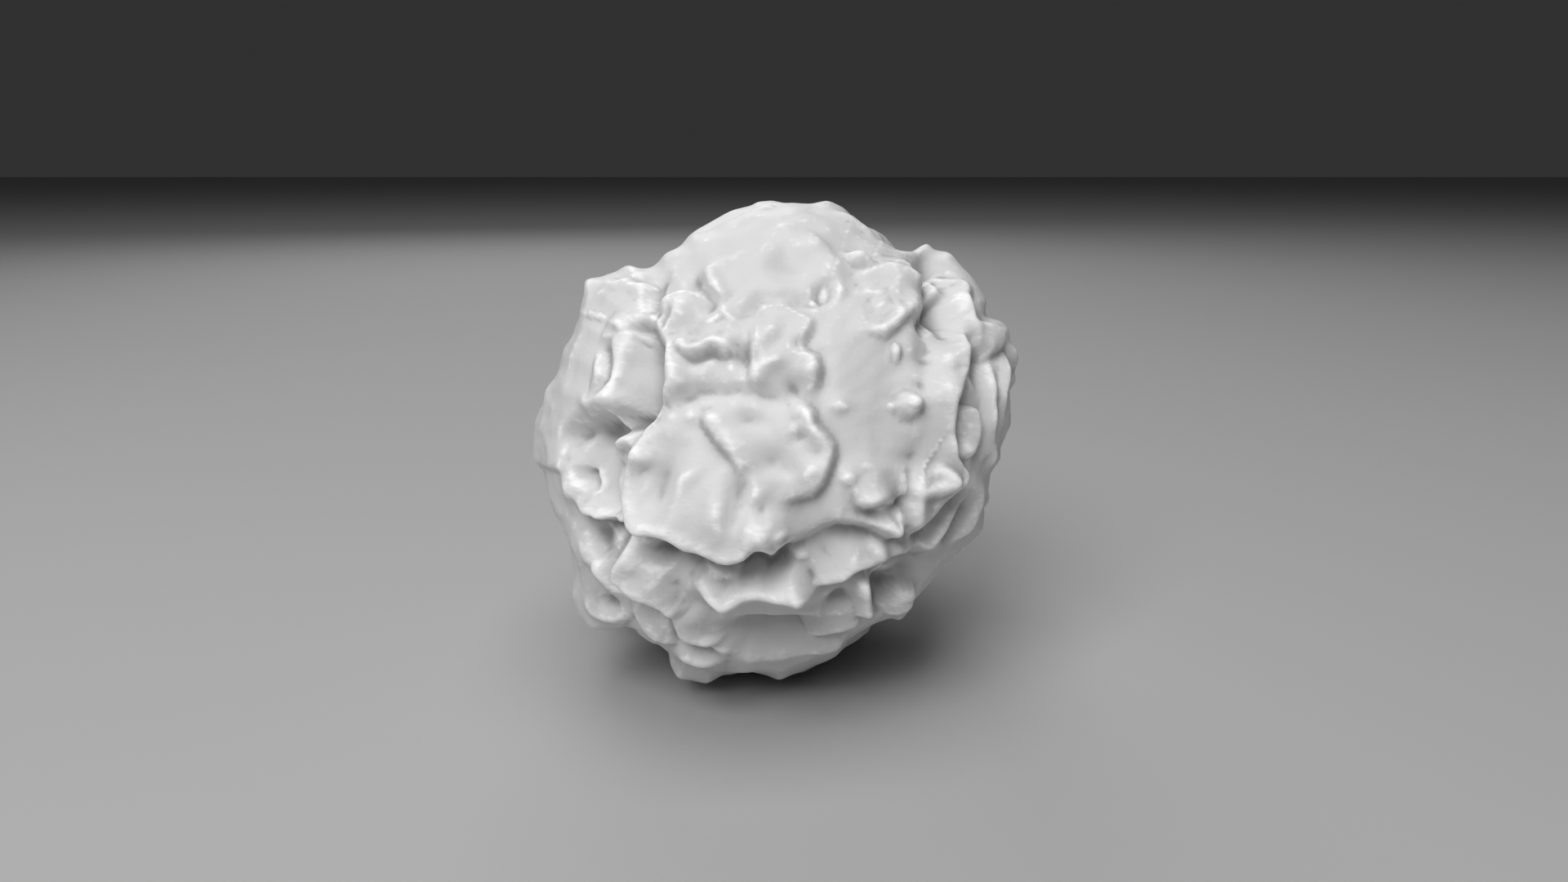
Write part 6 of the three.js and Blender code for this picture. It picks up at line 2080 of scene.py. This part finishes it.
@dataclass
class Relief:
    """Crests for painted highlight, hollows for painted shade, and how worn the edges are."""

    wear_rounds: int = 3
    crest_rounds: int = 2
    hollow_rounds: int = 60
    fine_from: float = 0.03
    fine_crest: float = 0.1
    fine_crest_share: float = 0.8
    fine_hollow: float = 0.12
    fine_hollow_share: float = 0.5
    broad_over: float = 1.6
    broad_crest_from: float = 0.25
    broad_crest_share: float = 0.6
    broad_hollow_from: float = 0.1
    broad_hollow_share: float = 0.8

    def smoothed(self, values: Array, starts: Array, ends: Array, rounds: int) -> Array:
        """Average values over neighbours.

        Args:
            values: One row of values for each corner of the mesh.
            starts: The corner at the start of each edge.
            ends: The corner at the end of each edge.
            rounds: How many times.

        Returns:
            The averaged values.
        """
        around = np.bincount(starts, minlength=len(values))[:, None]
        for _ in range(rounds):
            sums = [np.bincount(starts, values[ends, k], len(values)) for k in range(values.shape[1])]
            values = (values + np.stack(sums, 1) / around) / 2.0
        return values

    def masks(self, points: Array, triangles: Array) -> tuple[Array, Array, Array]:
        """Wear the skin's edges, and find how far each corner is a crest and a hollow.

        Args:
            points: Corners of the mesh, in millimetres.
            triangles: The three corners of each triangle.

        Returns:
            The worn corners, and crest and hollow for painted highlight and shade, from 0 to 1.
        """
        edges = points[triangles[:, 1]] - points[triangles[:, 0]]
        others = points[triangles[:, 2]] - points[triangles[:, 0]]
        facing = np.cross(edges, others)
        normals = np.zeros_like(points)
        for corner in range(3):
            for axis in range(3):
                normals[:, axis] += np.bincount(triangles[:, corner], facing[:, axis], len(points))
        normals = unit(normals)
        starts = triangles.reshape(-1)
        ends = np.roll(triangles, -1, 1).reshape(-1)
        close = self.smoothed(points, starts, ends, self.crest_rounds)
        broad = self.smoothed(close, starts, ends, self.hollow_rounds)
        standing = ((points - close) * normals).sum(1)
        proud = ((close - broad) * normals).sum(1)
        fine_crest = smooth((standing - self.fine_from) / self.fine_crest)
        broad_crest = smooth((proud - self.broad_crest_from) / self.broad_over)
        crest = fine_crest * self.fine_crest_share + broad_crest * self.broad_crest_share
        fine_hollow = smooth((-standing - self.fine_from) / self.fine_hollow)
        broad_hollow = smooth((-proud - self.broad_hollow_from) / self.broad_over)
        hollow = fine_hollow * self.fine_hollow_share + broad_hollow * self.broad_hollow_share
        worn = self.smoothed(points, starts, ends, self.wear_rounds)
        return worn, np.clip(crest, 0.0, 1.0), np.clip(hollow, 0.0, 1.0)


@dataclass
class Hailstone:
    """The whole stone: one closed skin at rest on its flat spot."""

    rest_height: float = 53.6
    coarse_bowls: MeltBowls = field(
        default_factory=lambda: MeltBowls(count=420, smallest=4.0, largest=9.0, depth=0.8, seed=11)
    )
    fine_bowls: MeltBowls = field(
        default_factory=lambda: MeltBowls(count=2400, smallest=1.6, largest=3.6, depth=0.24, seed=5)
    )
    swell: Swell = field(default_factory=lambda: Swell(height=0.8, wavelength=30.0))
    mesh: EvenMesh = field(default_factory=EvenMesh)
    relief: Relief = field(default_factory=Relief)
    finish: PaleIce = field(default_factory=PaleIce)

    def skin(self) -> Skin:
        """Lay everything on the base form.

        Returns:
            The finished skin.
        """
        skin = Skin()
        skin.lay(Front().features())
        skin.lay_again()
        skin.lay_smooth(Front().smooth_ground())
        skin.lay_hidden(HiddenSides().features())
        skin.lay([self.coarse_bowls, self.fine_bowls, self.swell])
        return skin

    def seated(self, points: Array) -> Array:
        """Lean the stone back and set it on the floor, inside the solid's box.

        Args:
            points: Corners in millimetres on the chart's axes.

        Returns:
            The corners in metres in the shared frame.
        """
        x, y, z = points.T
        back = y * math.sin(LEAN) - z * math.cos(LEAN)
        height = y * math.cos(LEAN) + z * math.sin(LEAN) + self.rest_height
        placed = np.stack([x, back, np.maximum(height, 0.0)], 1) * MM
        low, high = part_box(STONE)
        middle = (placed.max(0) + placed.min(0)) / 2.0
        placed[:, 0] += (low.x + high.x) / 2.0 - middle[0]
        placed[:, 1] += (low.y + high.y) / 2.0 - middle[1]
        return placed

    def build(self, effects: Effects) -> bpy.types.Object:
        """Build the stone and dress it.

        Args:
            effects: The shared shader node groups.

        Returns:
            The stone.
        """
        points, triangles = self.mesh.drawn(self.skin())
        points, crest, hollow = self.relief.masks(points, triangles)
        mesh = bpy.data.meshes.new("hailstone_skin")
        mesh.from_pydata(self.seated(points).tolist(), [], triangles.tolist())
        mesh.shade_smooth()
        # masks for the painted highlight on crests and the painted shade in hollows
        for name, values in (("crest", crest), ("hollow", hollow)):
            mesh.attributes.new(name, "FLOAT", "POINT").data.foreach_set("value", values)
        mesh.materials.append(self.finish.material(effects))
        stone = bpy.data.objects.new("hailstone_skin", mesh)
        bpy.context.scene.collection.objects.link(stone)
        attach(stone, "root")
        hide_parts(STONE)
        return stone


# ---- Studio ----


@dataclass(frozen=True)
class Softbox:
    """A square soft light that points at the stone."""

    name: str
    place: tuple[float, float, float]
    width: float
    power: float

    def build(self, target: Vector) -> None:
        """Hang the light.

        Args:
            target: What it points at.
        """
        light = bpy.data.lights.new(self.name, "AREA")
        light.size = self.width
        light.energy = self.power
        lamp = bpy.data.objects.new(self.name, light)
        lamp.location = self.place
        lamp.rotation_euler = (target - lamp.location).to_track_quat("-Z", "Y").to_euler()
        bpy.context.scene.collection.objects.link(lamp)


@dataclass
class Studio:
    """Plain pale floor, soft light and the camera."""

    floor_width: float = 16.0
    distance: float = 0.260
    elevation: float = LEAN
    centre: tuple[float, float, float] = (0.0013, 0.0013, 0.0536)
    sensor: float = 36.0
    lens: float = 24.375
    shift: Place = (0.0052, 0.0026)
    clip: Place = (0.01, 50.0)
    ambient: float = 0.03
    lights: tuple[Softbox, ...] = (
        Softbox("key", (-0.35, -0.75, 0.85), 0.6, 8.0),
        Softbox("overhead", (0.0, -0.3, 2.2), 1.6, 22.0),
        Softbox("back", (-0.3, 1.2, 0.9), 0.8, 4.0),
    )
    finish: StudioFloor = field(default_factory=StudioFloor)

    def floor(self, effects: Effects) -> bpy.types.Object:
        """Lay the floor.

        Args:
            effects: The shared shader node groups.

        Returns:
            The floor.
        """
        half = self.floor_width / 2.0
        mesh = bpy.data.meshes.new("floor")
        corners = [(-half, -half, 0.0), (half, -half, 0.0), (half, half, 0.0), (-half, half, 0.0)]
        mesh.from_pydata(corners, [], [(0, 1, 2, 3)])
        mesh.materials.append(self.finish.material(effects))
        floor = bpy.data.objects.new("floor", mesh)
        bpy.context.scene.collection.objects.link(floor)
        return floor

    def camera(self) -> bpy.types.Object:
        """Place the camera, level and a little above the stone.

        Returns:
            The camera.
        """
        lens = bpy.data.cameras.new("camera")
        lens.sensor_width = self.sensor
        lens.lens = self.lens
        lens.shift_x, lens.shift_y = self.shift
        lens.clip_start, lens.clip_end = self.clip
        camera = bpy.data.objects.new("camera", lens)
        back = Vector((0.0, -math.cos(self.elevation), math.sin(self.elevation)))
        camera.location = Vector(self.centre) + back * self.distance
        camera.rotation_euler = (-back).to_track_quat("-Z", "Y").to_euler()
        bpy.context.scene.collection.objects.link(camera)
        bpy.context.scene.camera = camera
        return camera

    def surroundings(self) -> None:
        """Set the plain light that comes from all round."""
        world = bpy.data.worlds.new("studio")
        world.use_nodes = True
        background = world.node_tree.nodes["Background"]
        background.inputs["Strength"].default_value = self.ambient
        background.inputs["Color"].default_value = (1.0, 1.0, 1.0, 1.0)
        bpy.context.scene.world = world
        bpy.context.scene.view_settings.view_transform = "Standard"

    def build(self, effects: Effects) -> None:
        """Build the whole studio.

        Args:
            effects: The shared shader node groups.
        """
        self.floor(effects)
        self.surroundings()
        self.camera()
        for light in self.lights:
            light.build(Vector(self.centre))


def report(piece: bpy.types.Object) -> None:
    """Log a piece's size."""
    size = ", ".join(f"{side / MM:.1f}" for side in piece.dimensions)
    logging.info("%s: %d triangles, %s mm", piece.name, len(piece.data.polygons), size)


def main() -> None:
    """Build the stone and the studio."""
    logging.basicConfig(level=logging.INFO, format="%(message)s")
    effects = Effects.built()
    stone = Hailstone().build(effects)
    bpy.context.view_layer.update()
    report(stone)
    Studio().build(effects)


if __name__ == "__main__":
    main()
